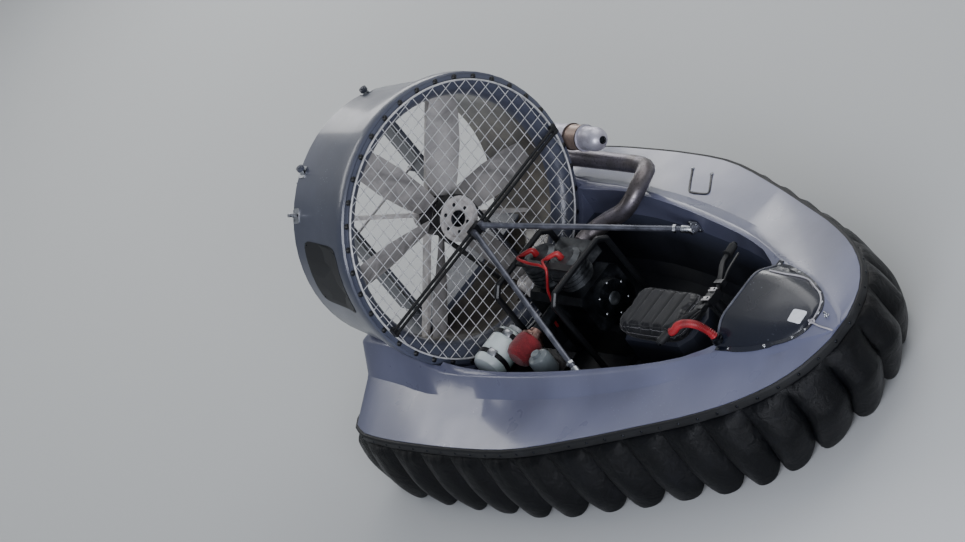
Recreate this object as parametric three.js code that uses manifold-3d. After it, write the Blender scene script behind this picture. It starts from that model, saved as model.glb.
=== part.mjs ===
// Single-seat racing hovercraft: moulded hull and deck, segmented skirt, ducted fan driven by a belt,
// open engine, two coupled rudders and a handlebar.
// Millimetres. +X is forward, +Y is port, +Z is up, and the landing skids stand on Z = 0.
// Inside the craft's group X is measured from the front face of the duct.
import * as THREE from "three";
import { mergeVertices } from "three/addons/utils/BufferGeometryUtils.js";
import Module from "manifold-3d";

const wasm = await Module();
wasm.setup();

// Driving dimensions.
const GAP = 0.3;
const TRANSOM_X = -430;
const BOW_X = 1870;
const DUCT_Z = 745;
const THROAT_R = 455;
const DUCT = {
  depth: 410,
  mouthR: 520,
  bellDepth: 70,
  lipR: 546,
  lipDepth: 14,
  flareX: -44,
  flareR: 544,
  midX: -150,
  midR: 512,
  rearR: 470,
};
const SKIRT_LINE_Z = 320;
const SKIRT_LINE_RISE = 0.035;
const SKID_H = 30;
const FLOOR_Z = 70;

// Sections of the hull: half-widths at the skirt line, the bottom, the deck's crease and the cockpit rim.
const HULL = {
  x: [-430, -412, -350, -200, -70, 0, 300, 600, 900, 1200, 1450, 1650, 1770, 1840, BOW_X],
  edge: [585, 650, 706, 733, 738, 738, 732, 706, 628, 533, 447, 348, 250, 145, 52],
  bottom: [490, 540, 588, 610, 612, 612, 604, 575, 495, 395, 298, 196, 112, 52, 18],
  bottomZ: [30, 30, 30, 30, 30, 30, 30, 30, 30, 34, 54, 92, 132, 172, 205],
  crease: [505, 512, 520, 530, 545, 545, 530, 496, 438, 358, 255, 172, 108, 62, 24],
  creaseZ: [392, 392, 392, 390, 386, 384, 384, 386, 393, 404, 412, 412, 409, 406, 404],
  rim: [440, 445, 450, 458, 475, 482, 474, 440, 384, 310, 212, 148, 92, 48, 15],
  rimZ: [500, 505, 512, 512, 470, 446, 445, 445, 445, 446, 446, 434, 421, 411, 406],
};
const LIP_H = 14;
const BILGE = 14;
const RIM_BEVEL = { across: 9, down: 5 };
const HULL_STATIONS = 34;

// Sections of the open cockpit and engine bay: half-width at the rim and at the floor, height of the floor.
const COCKPIT = {
  x: [20, 300, 600, 900, 1150, 1300, 1390, 1440, 1560],
  top: [436, 446, 412, 356, 298, 244, 186, 150, 116],
  floor: [400, 400, 366, 312, 254, 200, 142, 106, 72],
  floorZ: [70, 70, 70, 70, 70, 72, 94, 114, 165],
};
const COCKPIT_STATIONS = 22;
const COCKPIT_EDGE_Z = 418;
const COCKPIT_BILGE = 34;

const FAN = { blades: 6, hubR: 72, hubFront: -78, hubRear: -178, rootR: 60, tipR: 447 };
const FAN_PULLEY = { r: 83, front: -18, rear: -70, shaftR: 15, flange: 3, flangeW: 4 };
const CRANK = { r: 40, y: 60, z: 305, shaftR: 14 };
const BELT = { thick: 6, gap: 0.6, front: -24, rear: -64 };
const SPIDER = { front: -192, rear: -236, bossR: 52, armW: 34, armT: 14, boreR: 15.6 };
const SPLITTER = { drop: 335, thick: 8, front: -252, rear: -404 };
const RUDDER = { x: -385, y: 200, top: 360, nose: 36, tail: 112, thick: 16, postR: 8, hornX: 130 };
const RUDDER_CAP = { low: 443, high: 456, r: 15 };
const PIN = { r: 4, clear: 0.6 };
const GUARD = { front: 15, wire: 5, pitch: 100, ringR: 520, ringW: 14, shaftHoleR: 28 };
const GUARD_RING = { inner: 512, outer: 536, front: 4.6 };
const BAR = { drop: 57, r: 6, halfGap: 9, x: 31, half: 515, footHalfW: 10, footHalfH: 17 };
const STAY = {
  r: 11,
  lugHalf: 9,
  headX: 58,
  headY: 22,
  headDrop: 50,
  footX: 720,
  footY: 362.8,
  footZ: 378,
};
const ENGINE = { x0: 92, x1: 430, y: 60, halfW: 108, z0: 215, z1: 392, cylR: 68, headZ: 505 };
const ENGINE_FRAME = { hoops: [128, 470], legs: [-150, 184], top: 525, r: 12 };
const FILTER = { x: 245, y: -195, length: 108, z: 338, r: 55 };
const TANK = { x: 112, y0: -168, y1: -368, r: 66 };
const OIL = { x: 372, y: -286, r: 44, h: 96 };
const TRAY = { z: 264, thick: 5, x0: 46, x1: 424, y0: -178, y1: -374 };
const PIPE = { r: 34, startY: 196, startZ: 425, deckY: 576, deckZ: 447, turnX: -226, upperZ: 557 };
const SILENCER = { y: 586, rear: -196, front: 134, r: 50, holeR: 11, noseL: 46 };
const BAND = { rear: -52, front: 28, ringW: 6, ringR: 52, r: 48 };
const SEAT = { x0: 640, x1: 1010, half: 108, top: 298, cushionH: 62 };
const POST = { x: 1290, z: 82, topX: 1238, topZ: 442, r: 19 };
const BARS = { r: 11, half: 238, gripR: 17 };
const COWL = {
  x: [1412, 1500, 1600, 1680, 1708, 1728, 1741, 1749],
  base: [190, 182, 153, 115, 96, 76, 55, 28],
  top: [111, 112, 98, 69, 55, 42, 28, 12],
  topZ: [511, 498, 480, 461, 453, 446, 441, 438],
};
const COWL_WALL = 12;
const COWL_NOSE_X = 1690;
const COWL_HOLLOW_X = [1500, 1600, 1690];
const SKIRT = { segments: 44, steps: 4, drop: 24, splitBow: 1180, splitStern: -330 };
const BOW_TUCK = { back: 100, from: 1450, share: 0.52 };

// Paints: colour, roughness, metalness.
const PAINT = {
  hull: [0x434b5e, 0.3, 0.1],
  tub: [0x2b303b, 0.5, 0.05],
  black: [0x15161a, 0.6, 0.1],
  skirt: [0x111216, 0.7, 0],
  cowl: [0x1c1f29, 0.25, 0.1],
  steel: [0x8d9096, 0.4, 0.9],
  wire: [0xa9abae, 0.45, 0.8],
  blade: [0xb8b6ae, 0.5, 0],
  alloy: [0x9b9da0, 0.45, 0.8],
  engine: [0x4a4c50, 0.5, 0.6],
  exhaust: [0x8b8378, 0.45, 0.8],
  red: [0xb02a2e, 0.6, 0],
  tank: [0xd9e4df, 0.4, 0],
  olive: [0x7c8a7e, 0.5, 0],
  seat: [0x17181b, 0.8, 0],
};

function paint(kind) {
  const [color, roughness, metalness] = PAINT[kind];
  return new THREE.MeshStandardMaterial({ color, roughness, metalness });
}

// Solid geometry.

function toSolid(geometry) {
  const bare = new THREE.BufferGeometry();
  const plain = geometry.index ? geometry.toNonIndexed() : geometry;
  bare.setAttribute("position", plain.getAttribute("position"));
  const merged = mergeVertices(bare, 1e-3);
  return new wasm.Manifold(
    new wasm.Mesh({
      numProp: 3,
      vertProperties: new Float32Array(merged.attributes.position.array),
      triVerts: new Uint32Array(merged.index.array),
    }),
  );
}

function toGeometry(solid) {
  const mesh = solid.getMesh();
  const geometry = new THREE.BufferGeometry();
  geometry.setAttribute("position", new THREE.BufferAttribute(mesh.vertProperties, 3));
  geometry.setIndex(new THREE.BufferAttribute(mesh.triVerts, 1));
  return geometry;
}

function join(...geometries) {
  return toGeometry(geometries.map(toSolid).reduce((sum, next) => sum.add(next)));
}

function cut(geometry, ...tools) {
  return toGeometry(tools.map(toSolid).reduce((rest, tool) => rest.subtract(tool), toSolid(geometry)));
}

function overlapOf(a, b) {
  return toGeometry(toSolid(a).intersect(toSolid(b)));
}

// A closed solid through rings of equal length; a closed loft joins its last ring to its first.
function loft(rings, closed = false) {
  const size = rings[0].length;
  const index = [];
  const spans = closed ? rings.length : rings.length - 1;
  for (let i = 0; i < spans; i++) {
    const a = i * size;
    const b = ((i + 1) % rings.length) * size;
    for (let j = 0; j < size; j++) {
      const k = (j + 1) % size;
      index.push(a + j, a + k, b + k, a + j, b + k, b + j);
    }
  }
  if (!closed) {
    capTriangles(rings[0]).forEach(([p, q, r]) => index.push(r, q, p));
    const end = (rings.length - 1) * size;
    capTriangles(rings.at(-1)).forEach(([p, q, r]) => index.push(end + p, end + q, end + r));
  }
  const geometry = new THREE.BufferGeometry().setFromPoints(rings.flat());
  if (signedVolume(rings.flat(), index) < 0) index.reverse();
  geometry.setIndex(index);
  return geometry;
}

// Triangles of a flat ring, wound the way the ring runs.
function capTriangles(ring) {
  const normal = new THREE.Vector3();
  ring.forEach((p, i) => normal.add(p.clone().cross(ring[(i + 1) % ring.length])));
  const along = Math.abs(normal.x) > Math.abs(normal.y) && Math.abs(normal.x) > Math.abs(normal.z);
  const flat = ring.map((p) => {
    if (along) return new THREE.Vector2(p.y, p.z);
    return new THREE.Vector2(p.x, Math.abs(normal.y) > Math.abs(normal.z) ? p.z : p.y);
  });
  const turn = Math.sign(THREE.ShapeUtils.area(flat));
  return THREE.ShapeUtils.triangulateShape(flat, []).map((face) => {
    const same = Math.sign(THREE.ShapeUtils.area(face.map((i) => flat[i]))) === turn;
    return same ? face : [face[0], face[2], face[1]];
  });
}

function signedVolume(points, index) {
  let sum = 0;
  for (let i = 0; i < index.length; i += 3) {
    sum += points[index[i]].dot(points[index[i + 1]].clone().cross(points[index[i + 2]]));
  }
  return sum / 6;
}

function box(x0, x1, y0, y1, z0, z1) {
  const geometry = new THREE.BoxGeometry(x1 - x0, y1 - y0, z1 - z0);
  return geometry.translate((x0 + x1) / 2, (y0 + y1) / 2, (z0 + z1) / 2);
}

// A cylinder or cone between two points.
function rod(from, to, r0, r1 = r0, sides = 20) {
  const start = new THREE.Vector3(...from);
  const axis = new THREE.Vector3(...to).sub(start);
  const geometry = new THREE.CylinderGeometry(r1, r0, axis.length(), sides);
  geometry.translate(0, axis.length() / 2, 0);
  const turn = new THREE.Quaternion().setFromUnitVectors(new THREE.Vector3(0, 1, 0), axis.normalize());
  return geometry.applyQuaternion(turn).translate(start.x, start.y, start.z);
}

// A tube of round section along a smooth curve through the points.
function tube(points, r, steps, sides = 12) {
  const section = new THREE.Shape(circle(r, sides));
  const corners = points.map((p) => new THREE.Vector3(...p));
  const path = new THREE.CatmullRomCurve3(corners, false, "centripetal");
  return new THREE.ExtrudeGeometry(section, { steps, extrudePath: path });
}

function circle(r, sides) {
  return Array.from({ length: sides }, (_, i) => {
    const a = (2 * Math.PI * i) / sides;
    return new THREE.Vector2(r * Math.cos(a), r * Math.sin(a));
  });
}

// A solid of revolution about the fan's axis; profile points are [x, radius].
function turned(profile, sides = 56, y = 0, z = DUCT_Z) {
  const points = profile.map(([x, r]) => new THREE.Vector2(Math.max(r, 0), x));
  const geometry = new THREE.LatheGeometry(points, sides);
  geometry.rotateZ(-Math.PI / 2).translate(0, y, z);
  const bare = new THREE.BufferGeometry();
  bare.setAttribute("position", geometry.toNonIndexed().getAttribute("position"));
  return outward(mergeVertices(bare, 1e-3));
}

function outward(geometry) {
  const position = geometry.getAttribute("position");
  const points = Array.from({ length: position.count }, (_, i) => {
    return new THREE.Vector3().fromBufferAttribute(position, i);
  });
  const index = Array.from(geometry.index.array);
  const kept = [];
  for (let i = 0; i < index.length; i += 3) {
    const [a, b, c] = index.slice(i, i + 3);
    if (a !== b && b !== c && a !== c) kept.push(a, b, c);
  }
  if (signedVolume(points, kept) < 0) kept.reverse();
  geometry.setIndex(kept);
  return geometry;
}

function column(table, name) {
  const curve = new THREE.CubicInterpolant(table.x, table[name], 1, new Float32Array(1));
  return (x) => curve.evaluate(x)[0];
}

// Stations of the hull, closer together at the bow and the stern.
function stations(from, to, count) {
  return Array.from({ length: count }, (_, i) => {
    const t = i / (count - 1);
    return from + (to - from) * (0.5 - 0.5 * Math.cos(Math.PI * t));
  });
}

const edgeHalf = column(HULL, "edge");
const rimHalf = column(HULL, "rim");
const rimZ = column(HULL, "rimZ");
const hullX = stations(TRANSOM_X, BOW_X, HULL_STATIONS);
const skirtLineZ = (x) => SKIRT_LINE_Z + SKIRT_LINE_RISE * x;

// A section across the craft at x from its starboard half, mirrored to port.
function across(x, half) {
  const port = half.map(([y, z]) => new THREE.Vector3(x, y, z));
  const starboard = half.map(([y, z]) => new THREE.Vector3(x, -y, z)).reverse();
  return [...port, ...starboard];
}

// Hull and deck.

function tubGeometry() {
  const [bottom, bottomZ] = ["bottom", "bottomZ"].map((name) => column(HULL, name));
  const rings = hullX.map((x) => {
    const top = skirtLineZ(x) - GAP;
    const low = bottomZ(x);
    return across(x, [
      [bottom(x) - BILGE, low],
      [bottom(x), low + BILGE],
      [edgeHalf(x) - 6, top - 12],
      [edgeHalf(x) - 2, top],
    ]);
  });
  return cut(loft(rings), ductCutter(), cockpitCutter());
}

function deckGeometry() {
  const [crease, creaseZ] = ["crease", "creaseZ"].map((name) => column(HULL, name));
  const rings = hullX.map((x) =>
    across(x, [
      [edgeHalf(x), skirtLineZ(x)],
      [edgeHalf(x), skirtLineZ(x) + LIP_H],
      [crease(x), creaseZ(x)],
      [rimHalf(x), rimZ(x) - RIM_BEVEL.down],
      [rimHalf(x) - RIM_BEVEL.across, rimZ(x)],
    ]),
  );
  return cut(loft(rings), ductCutter(), cockpitCutter());
}

// The room that the duct and its guard take out of the hull.
function ductCutter() {
  const clear = 0.4;
  const rear = TRANSOM_X - 5;
  const front = GUARD.front + 10;
  return turned([
    [rear, 0],
    [rear, DUCT.rearR + clear],
    [-DUCT.depth, DUCT.rearR + clear],
    [DUCT.midX, DUCT.midR + clear],
    [DUCT.flareX, DUCT.flareR + clear],
    [-DUCT.lipDepth, DUCT.lipR + clear],
    [front, DUCT.lipR + clear],
    [front, 0],
  ]);
}

function cockpitCutter() {
  const [top, floor, floorZ] = ["top", "floor", "floorZ"].map((name) => column(COCKPIT, name));
  const above = 700;
  const rings = stations(COCKPIT.x[0], COCKPIT.x.at(-1), COCKPIT_STATIONS).map((x) =>
    across(x, [
      [floor(x) - COCKPIT_BILGE, floorZ(x)],
      [floor(x), floorZ(x) + COCKPIT_BILGE],
      [top(x), COCKPIT_EDGE_Z],
      [top(x) + 3, above],
    ]),
  );
  return loft(rings);
}

// The skirt line as a closed loop of points with their outward normals.
function edgeLoop() {
  const starboard = hullX.map((x) => new THREE.Vector3(x, -edgeHalf(x), skirtLineZ(x)));
  const port = hullX.map((x) => new THREE.Vector3(x, edgeHalf(x), skirtLineZ(x))).reverse();
  return withNormals([...starboard, ...port]);
}

function withNormals(points) {
  return points.map((point, i) => {
    const before = points.at(i - 1);
    const after = points[(i + 1) % points.length];
    const a = new THREE.Vector2(point.x - before.x, point.y - before.y).normalize();
    const b = new THREE.Vector2(after.x - point.x, after.y - point.y).normalize();
    const along = a.clone().add(b).normalize();
    const spread = 1 / Math.max(along.dot(a), 0.7);
    return { point, normal: new THREE.Vector3(along.y * spread, -along.x * spread, 0) };
  });
}

function atOffset({ point, normal }, out, z) {
  return new THREE.Vector3(point.x + normal.x * out, point.y + normal.y * out, z);
}

function edgeStripGeometry() {
  const rings = edgeLoop().map((station) => {
    const z = station.point.z;
    return [
      [0.5, z - SKIRT.drop],
      [11, z - SKIRT.drop],
      [14, z - SKIRT.drop + 6],
      [14, z + 6],
      [9, z + 12],
      [0.5, z + 12],
    ].map(([out, height]) => atOffset(station, out, height));
  });
  return loft(rings, true);
}

// Points of the skirt at equal steps round the loop, with how full each segment is there.
function skirtStations() {
  const corners = edgeLoop().map((s) => s.point);
  const loop = new THREE.CurvePath();
  corners.forEach((p, i) => loop.add(new THREE.LineCurve3(p, corners[(i + 1) % corners.length])));
  const count = SKIRT.segments * SKIRT.steps;
  const points = loop.getSpacedPoints(count).slice(0, count);
  return withNormals(points).map((station, i) => {
    const t = (i % SKIRT.steps) / SKIRT.steps;
    return { ...station, full: Math.sin(Math.PI * t) ** 0.7 };
  });
}

// A section of the skirt; at the bow its lower part is drawn back under the hull.
function skirtRing(station) {
  const { full, point } = station;
  const top = point.z - SKIRT.drop - GAP;
  const tuck = BOW_TUCK.back * THREE.MathUtils.smoothstep(point.x, BOW_TUCK.from, BOW_X);
  const tuckTop = top * BOW_TUCK.share;
  return [
    [3, top],
    [12, top],
    [20 + 24 * full, top * 0.8],
    [22 + 32 * full, top * 0.46],
    [10 + 26 * full, top * 0.13],
    [8 + 16 * full, 1],
    [3, 1],
    [3, tuckTop],
  ].map(([out, height]) => {
    const corner = atOffset(station, out, height);
    corner.x -= tuck * Math.max(0, 1 - height / tuckTop);
    return corner;
  });
}

function skirtGeometries() {
  const all = skirtStations();
  const side = ({ point }) => {
    if (point.x > SKIRT.splitBow) return "bow";
    if (point.x < SKIRT.splitStern) return "stern";
    return point.y > 0 ? "port" : "stbd";
  };
  const { segments, steps } = SKIRT;
  const groups = { bow: [], stern: [], port: [], stbd: [] };
  for (let k = 0; k < segments; k++) {
    groups[side(all[k * steps + steps / 2])].push(k);
  }
  return Object.fromEntries(
    Object.entries(groups).map(([name, list]) => {
      const first = list.find((k) => !list.includes((k + segments - 1) % segments));
      const rings = Array.from({ length: list.length * steps + 1 }, (_, i) => {
        return skirtRing(all[(first * steps + i) % all.length]);
      });
      rings[0] = nudged(rings[0], rings[1]);
      rings[rings.length - 1] = nudged(rings.at(-1), rings.at(-2));
      return [name, loft(rings)];
    }),
  );
}

// A ring moved a hair towards its neighbour, so that two runs of the skirt don't touch.
function nudged(ring, towards) {
  return ring.map((p, i) => p.clone().lerp(towards[i], 0.01));
}

// Duct, guard and fan.

function ductGeometry() {
  const bell = Array.from({ length: 7 }, (_, i) => {
    const a = (Math.PI / 2) * (i / 6);
    const rise = DUCT.mouthR - THROAT_R;
    return [-DUCT.bellDepth * (1 - Math.sin(a)), DUCT.mouthR - rise * Math.cos(a)];
  });
  const profile = [
    [-DUCT.depth, THROAT_R],
    ...bell,
    [0, DUCT.lipR - 9],
    [-5, DUCT.lipR - 2],
    [-DUCT.lipDepth, DUCT.lipR],
    [DUCT.flareX, DUCT.flareR],
    [DUCT.midX, DUCT.midR],
    [-DUCT.depth, DUCT.rearR],
  ];
  const pocket = box(-84, -6, CRANK.y - 62, CRANK.y + 62, CRANK.z - 60, CRANK.z + 120);
  const holes = [-1, 1].map((side) => {
    const y = side * RUDDER.y;
    const [low, high] = [DUCT_Z + RUDDER.top, DUCT_Z + DUCT.lipR];
    return rod([RUDDER.x, y, low], [RUDDER.x, y, high], RUDDER.postR + PIN.clear);
  });
  return cut(turned([...profile, profile[0]]), pocket, ...holes);
}

// The room inside the duct's barrel, up to the running gap of what is fixed in it.
function insideBarrel() {
  const [rear, front] = [-DUCT.depth - 10, -100];
  return turned([
    [rear, 0],
    [rear, THROAT_R - GAP],
    [front, THROAT_R - GAP],
    [front, 0],
  ]);
}

// A flat ring about the fan's axis.
function flatRing(rear, front, inner, outer, sides = 56) {
  const corners = [
    [rear, inner],
    [front, inner],
    [front, outer],
    [rear, outer],
    [rear, inner],
  ];
  return turned(corners, sides);
}

function guardRingGeometry() {
  return flatRing(GAP, GUARD_RING.front, GUARD_RING.inner, GUARD_RING.outer);
}

function guardMeshGeometry() {
  const { front, wire, pitch, ringR, ringW, shaftHoleR } = GUARD;
  const wires = [];
  const inside = ringR - ringW / 2;
  const half = wire / 2;
  const sunk = 0.6;
  const outermost = (Math.floor(inside / pitch) - 0.5) * pitch;
  for (let c = -outermost; c <= outermost + 1; c += pitch) {
    const reach = Math.sqrt(inside ** 2 - c ** 2);
    const middle = front - wire + sunk;
    wires.push(box(front - wire, front, -reach, reach, DUCT_Z + c - half, DUCT_Z + c + half));
    wires.push(box(middle - wire, middle, c - half, c + half, DUCT_Z - reach, DUCT_Z + reach));
  }
  const [a, b] = [front - 2 * wire, front];
  const ring = flatRing(a, b, ringR - ringW, ringR);
  const collar = rod([a, CRANK.y, CRANK.z], [b, CRANK.y, CRANK.z], shaftHoleR + 8);
  const hole = rod([a - 9, CRANK.y, CRANK.z], [b + 9, CRANK.y, CRANK.z], shaftHoleR);
  return cut(join(ring, ...wires, collar), hole);
}

function guardBarGeometry() {
  const z = DUCT_Z - BAR.drop;
  const bars = [-1, 1].map((side) => {
    const height = z + side * BAR.halfGap;
    return rod([BAR.x, -BAR.half, height], [BAR.x, BAR.half, height], BAR.r, BAR.r, 12);
  });
  const { footHalfW, footHalfH } = BAR;
  const feet = [-1, 1].map((side) => {
    const y = side * (BAR.half - footHalfW + 2);
    return box(GUARD.front + GAP, BAR.x + 4, y - footHalfW, y + footHalfW, z - footHalfH, z + footHalfH);
  });
  const clamp = box(BAR.x - 10, STAY.headX - 14, -30, 30, z - 20, z + 20);
  return join(...bars, ...feet, clamp);
}

function stayGeometry(side) {
  const half = STAY.lugHalf;
  const head = [STAY.headX, side * STAY.headY, DUCT_Z - STAY.headDrop];
  const foot = [STAY.footX, side * STAY.footY, STAY.footZ];
  const eye = rod([foot[0], foot[1] - half, foot[2]], [foot[0], foot[1] + half, foot[2]], 18);
  const clampFront = STAY.headX - 14;
  const [x, y, z] = head;
  const plate = box(clampFront + 0.4, x + 4, y - half, y + half, z - 20, z + 14);
  const end = head.map((v, i) => v + (foot[i] - v) * 0.985);
  return join(rod(head, end, STAY.r), eye, plate);
}

// The bolted plate on the coaming that holds the foot of a stay.
function stayFootGeometry(side) {
  const [half, thick] = [24, 6];
  const inner = STAY.footY + STAY.lugHalf + GAP;
  const y = [side * inner, side * (inner + thick)].sort((a, b) => a - b);
  return box(STAY.footX - half, STAY.footX + half, y[0], y[1], STAY.footZ - half, STAY.footZ + half);
}

function bladeRing(r, chord, thick, pitch) {
  const outline = [
    [0.5, 0],
    [0.3, 0.5],
    [0, 0.62],
    [-0.3, 0.4],
    [-0.5, 0],
    [-0.3, -0.2],
    [0, -0.34],
    [0.3, -0.3],
  ];
  const middle = (FAN.hubFront + FAN.hubRear) / 2;
  return outline.map(([c, t]) => {
    const along = c * chord;
    const through = t * thick;
    const x = middle + along * Math.sin(pitch) + through * Math.cos(pitch);
    const y = along * Math.cos(pitch) - through * Math.sin(pitch);
    return new THREE.Vector3(x, y, r);
  });
}

function fanGeometry() {
  const degrees = Math.PI / 180;
  const { rootR, tipR, hubR, hubFront, hubRear } = FAN;
  const sections = [
    { r: rootR, chord: 92, thick: 20, pitch: 48 },
    { r: 150, chord: 118, thick: 17, pitch: 40 },
    { r: 270, chord: 130, thick: 13, pitch: 31 },
    { r: 380, chord: 118, thick: 10, pitch: 25 },
    { r: tipR, chord: 96, thick: 7, pitch: 22 },
  ];
  const blade = loft(sections.map((s) => bladeRing(s.r, s.chord, s.thick, s.pitch * degrees)));
  const blades = Array.from({ length: FAN.blades }, (_, i) => {
    const turn = (2 * Math.PI * i) / FAN.blades + Math.PI / 12;
    return blade.clone().rotateX(turn).translate(0, 0, DUCT_Z);
  });
  const bore = FAN_PULLEY.shaftR + GAP;
  const hub = turned([
    [hubRear, bore],
    [hubFront, bore],
    [hubFront, hubR - 10],
    [hubFront - 10, hubR],
    [hubRear + 10, hubR],
    [hubRear, hubR - 10],
    [hubRear, bore],
  ], 36);
  return join(hub, ...blades);
}

function fanPulleyGeometry() {
  const { r, front, rear, shaftR, flange, flangeW } = FAN_PULLEY;
  const profile = [
    [SPIDER.rear + 2, 0],
    [SPIDER.rear + 2, shaftR],
    [rear, shaftR],
    [rear, r + flange],
    [rear + flangeW, r + flange],
    [rear + flangeW, r],
    [front - flangeW, r],
    [front - flangeW, r + flange],
    [front, r + flange],
    [front, r - 12],
    [front - 16, r - 16],
    [front - 16, 26],
    [front - flangeW, 24],
    [front - flangeW, 0],
  ];
  return turned(profile, 32);
}

function crankPulleyGeometry() {
  const { r, y, z, shaftR } = CRANK;
  const { flange, flangeW } = FAN_PULLEY;
  const [rear, front] = [BELT.rear - flangeW, BELT.front + 3];
  const profile = [
    [rear - flangeW, 0],
    [rear - flangeW, r + flange],
    [rear, r + flange],
    [rear, r],
    [front, r],
    [front, r + flange],
    [front + flangeW, r + flange],
    [front + flangeW, shaftR],
    [ENGINE.x0 - GAP, shaftR],
    [ENGINE.x0 - GAP, 0],
  ];
  return turned(profile, 28, y, z);
}

// Outline of a belt round both pulleys, lying the given distance off them.
function beltOutline(off) {
  const big = new THREE.Vector2(0, DUCT_Z);
  const small = new THREE.Vector2(CRANK.y, CRANK.z);
  const way = small.clone().sub(big);
  const lean = Math.acos((FAN_PULLEY.r - CRANK.r) / way.length());
  const heading = way.angle();
  const arc = (centre, r, from, to, steps) =>
    Array.from({ length: steps + 1 }, (_, i) => {
      const a = from + ((to - from) * i) / steps;
      return new THREE.Vector2(centre.x + (r + off) * Math.cos(a), centre.y + (r + off) * Math.sin(a));
    });
  return [
    ...arc(big, FAN_PULLEY.r, heading + lean, heading + 2 * Math.PI - lean, 24),
    ...arc(small, CRANK.r, heading - lean, heading + lean, 14),
  ];
}

function beltGeometry() {
  const shape = new THREE.Shape(beltOutline(BELT.gap + BELT.thick));
  shape.holes.push(new THREE.Path(beltOutline(BELT.gap)));
  const geometry = new THREE.ExtrudeGeometry(shape, { depth: BELT.front - BELT.rear, bevelEnabled: false });
  const frame = new THREE.Matrix4().makeBasis(
    new THREE.Vector3(0, 1, 0),
    new THREE.Vector3(0, 0, 1),
    new THREE.Vector3(1, 0, 0),
  );
  return geometry.applyMatrix4(frame).translate(BELT.rear, 0, 0);
}

// The four-armed spider behind the fan that carries its shaft.
function spiderGeometry() {
  const { front, rear, bossR, armW, armT, boreR } = SPIDER;
  const boss = flatRing(rear, front, boreR, bossR, 36);
  const reach = THROAT_R + 10;
  const arm = box(rear + 4, rear + 4 + armW, -armT / 2, armT / 2, bossR - 8, reach);
  const arms = [1, 3, 5, 7].map((k) => arm.clone().rotateX((k * Math.PI) / 4).translate(0, 0, DUCT_Z));
  return overlapOf(join(boss, ...arms), insideBarrel());
}

// The plate that turns the lowest part of the stream down into the hull.
function splitterGeometry() {
  const { drop, thick, front, rear } = SPLITTER;
  const z = DUCT_Z - drop;
  const half = THROAT_R;
  const plate = box(rear, front, -half, half, z - thick, z);
  const wall = box(rear, rear + thick, -half, half, DUCT_Z - THROAT_R, z - 1);
  const holes = [-1, 1].map((side) => {
    const y = side * RUDDER.y;
    return rod([RUDDER.x, y, z - 20], [RUDDER.x, y, z + 20], RUDDER.postR + PIN.clear);
  });
  return cut(overlapOf(join(plate, wall), insideBarrel()), ...holes);
}

function rudderGeometry(side) {
  const { x, nose, tail, thick, postR, top, hornX } = RUDDER;
  const y = side * RUDDER.y;
  const half = thick / 2;
  const outline = [
    [nose, 0],
    [nose - 8, half * 0.7],
    [0, half],
    [-tail * 0.6, half * 0.55],
    [-tail, 1.5],
    [-tail, -1.5],
    [-tail * 0.6, -half * 0.55],
    [0, -half],
    [nose - 8, -half * 0.7],
  ];
  const bottom = -SPLITTER.drop + 6;
  const at = (z) => [x, y, DUCT_Z + z];
  const rings = [bottom, top].map((z) => {
    return outline.map(([a, b]) => new THREE.Vector3(x + a, y + b, DUCT_Z + z));
  });
  const post = rod(at(-SPLITTER.drop - 6), at(RUDDER_CAP.high + 3), postR);
  const cap = rod(at(RUDDER_CAP.low), at(RUDDER_CAP.high), RUDDER_CAP.r);
  const horn = box(x - hornX - 9, x - tail + 8, y - 6, y + 6, DUCT_Z - 3, DUCT_Z + 3);
  const pin = rod([x - hornX, y, DUCT_Z], [x - hornX, y, DUCT_Z + 16], PIN.r);
  return join(loft(rings), post, cap, horn, pin);
}

function tieBarGeometry() {
  const x = RUDDER.x - RUDDER.hornX;
  const low = DUCT_Z + 4;
  const [thick, beyond] = [8, 5];
  const bar = box(x - 5, x + 5, -RUDDER.y, RUDDER.y, low, low + thick);
  const round = (side, z0, z1, r) => rod([x, side * RUDDER.y, z0], [x, side * RUDDER.y, z1], r);
  const ends = [-1, 1].map((side) => round(side, low, low + thick, 10));
  const holes = [-1, 1].map((side) => round(side, low - beyond, low + thick + beyond, PIN.r + PIN.clear));
  return cut(join(bar, ...ends), ...holes);
}

// Engine bay.

function engineCaseGeometry() {
  const { x0, x1, y, halfW, z0, z1 } = ENGINE;
  const body = (x, half, low, high) =>
    [
      [-half + 20, low],
      [half - 20, low],
      [half, low + 30],
      [half, high - 22],
      [half - 22, high],
      [-half + 22, high],
      [-half, high - 22],
      [-half, low + 30],
    ].map(([a, z]) => new THREE.Vector3(x, y + a, z));
  const bevel = 24;
  const block = loft([
    body(x0, halfW - bevel, z0 + bevel, z1 - bevel),
    body(x0 + bevel, halfW, z0, z1),
    body(x1, halfW, z0, z1),
  ]);
  const cover = rod([x1 - 5, y, CRANK.z], [x1 + 34, y, CRANK.z], 78, 70, 28);
  const carb = rod([FILTER.x, y - halfW + 10, FILTER.z], [FILTER.x, FILTER.y, FILTER.z], 26);
  const bowlY = FILTER.y + 67;
  const bowl = rod([FILTER.x, bowlY, FILTER.z - 58], [FILTER.x, bowlY, FILTER.z], 24, 28);
  return join(block, cover, carb, bowl);
}

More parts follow.
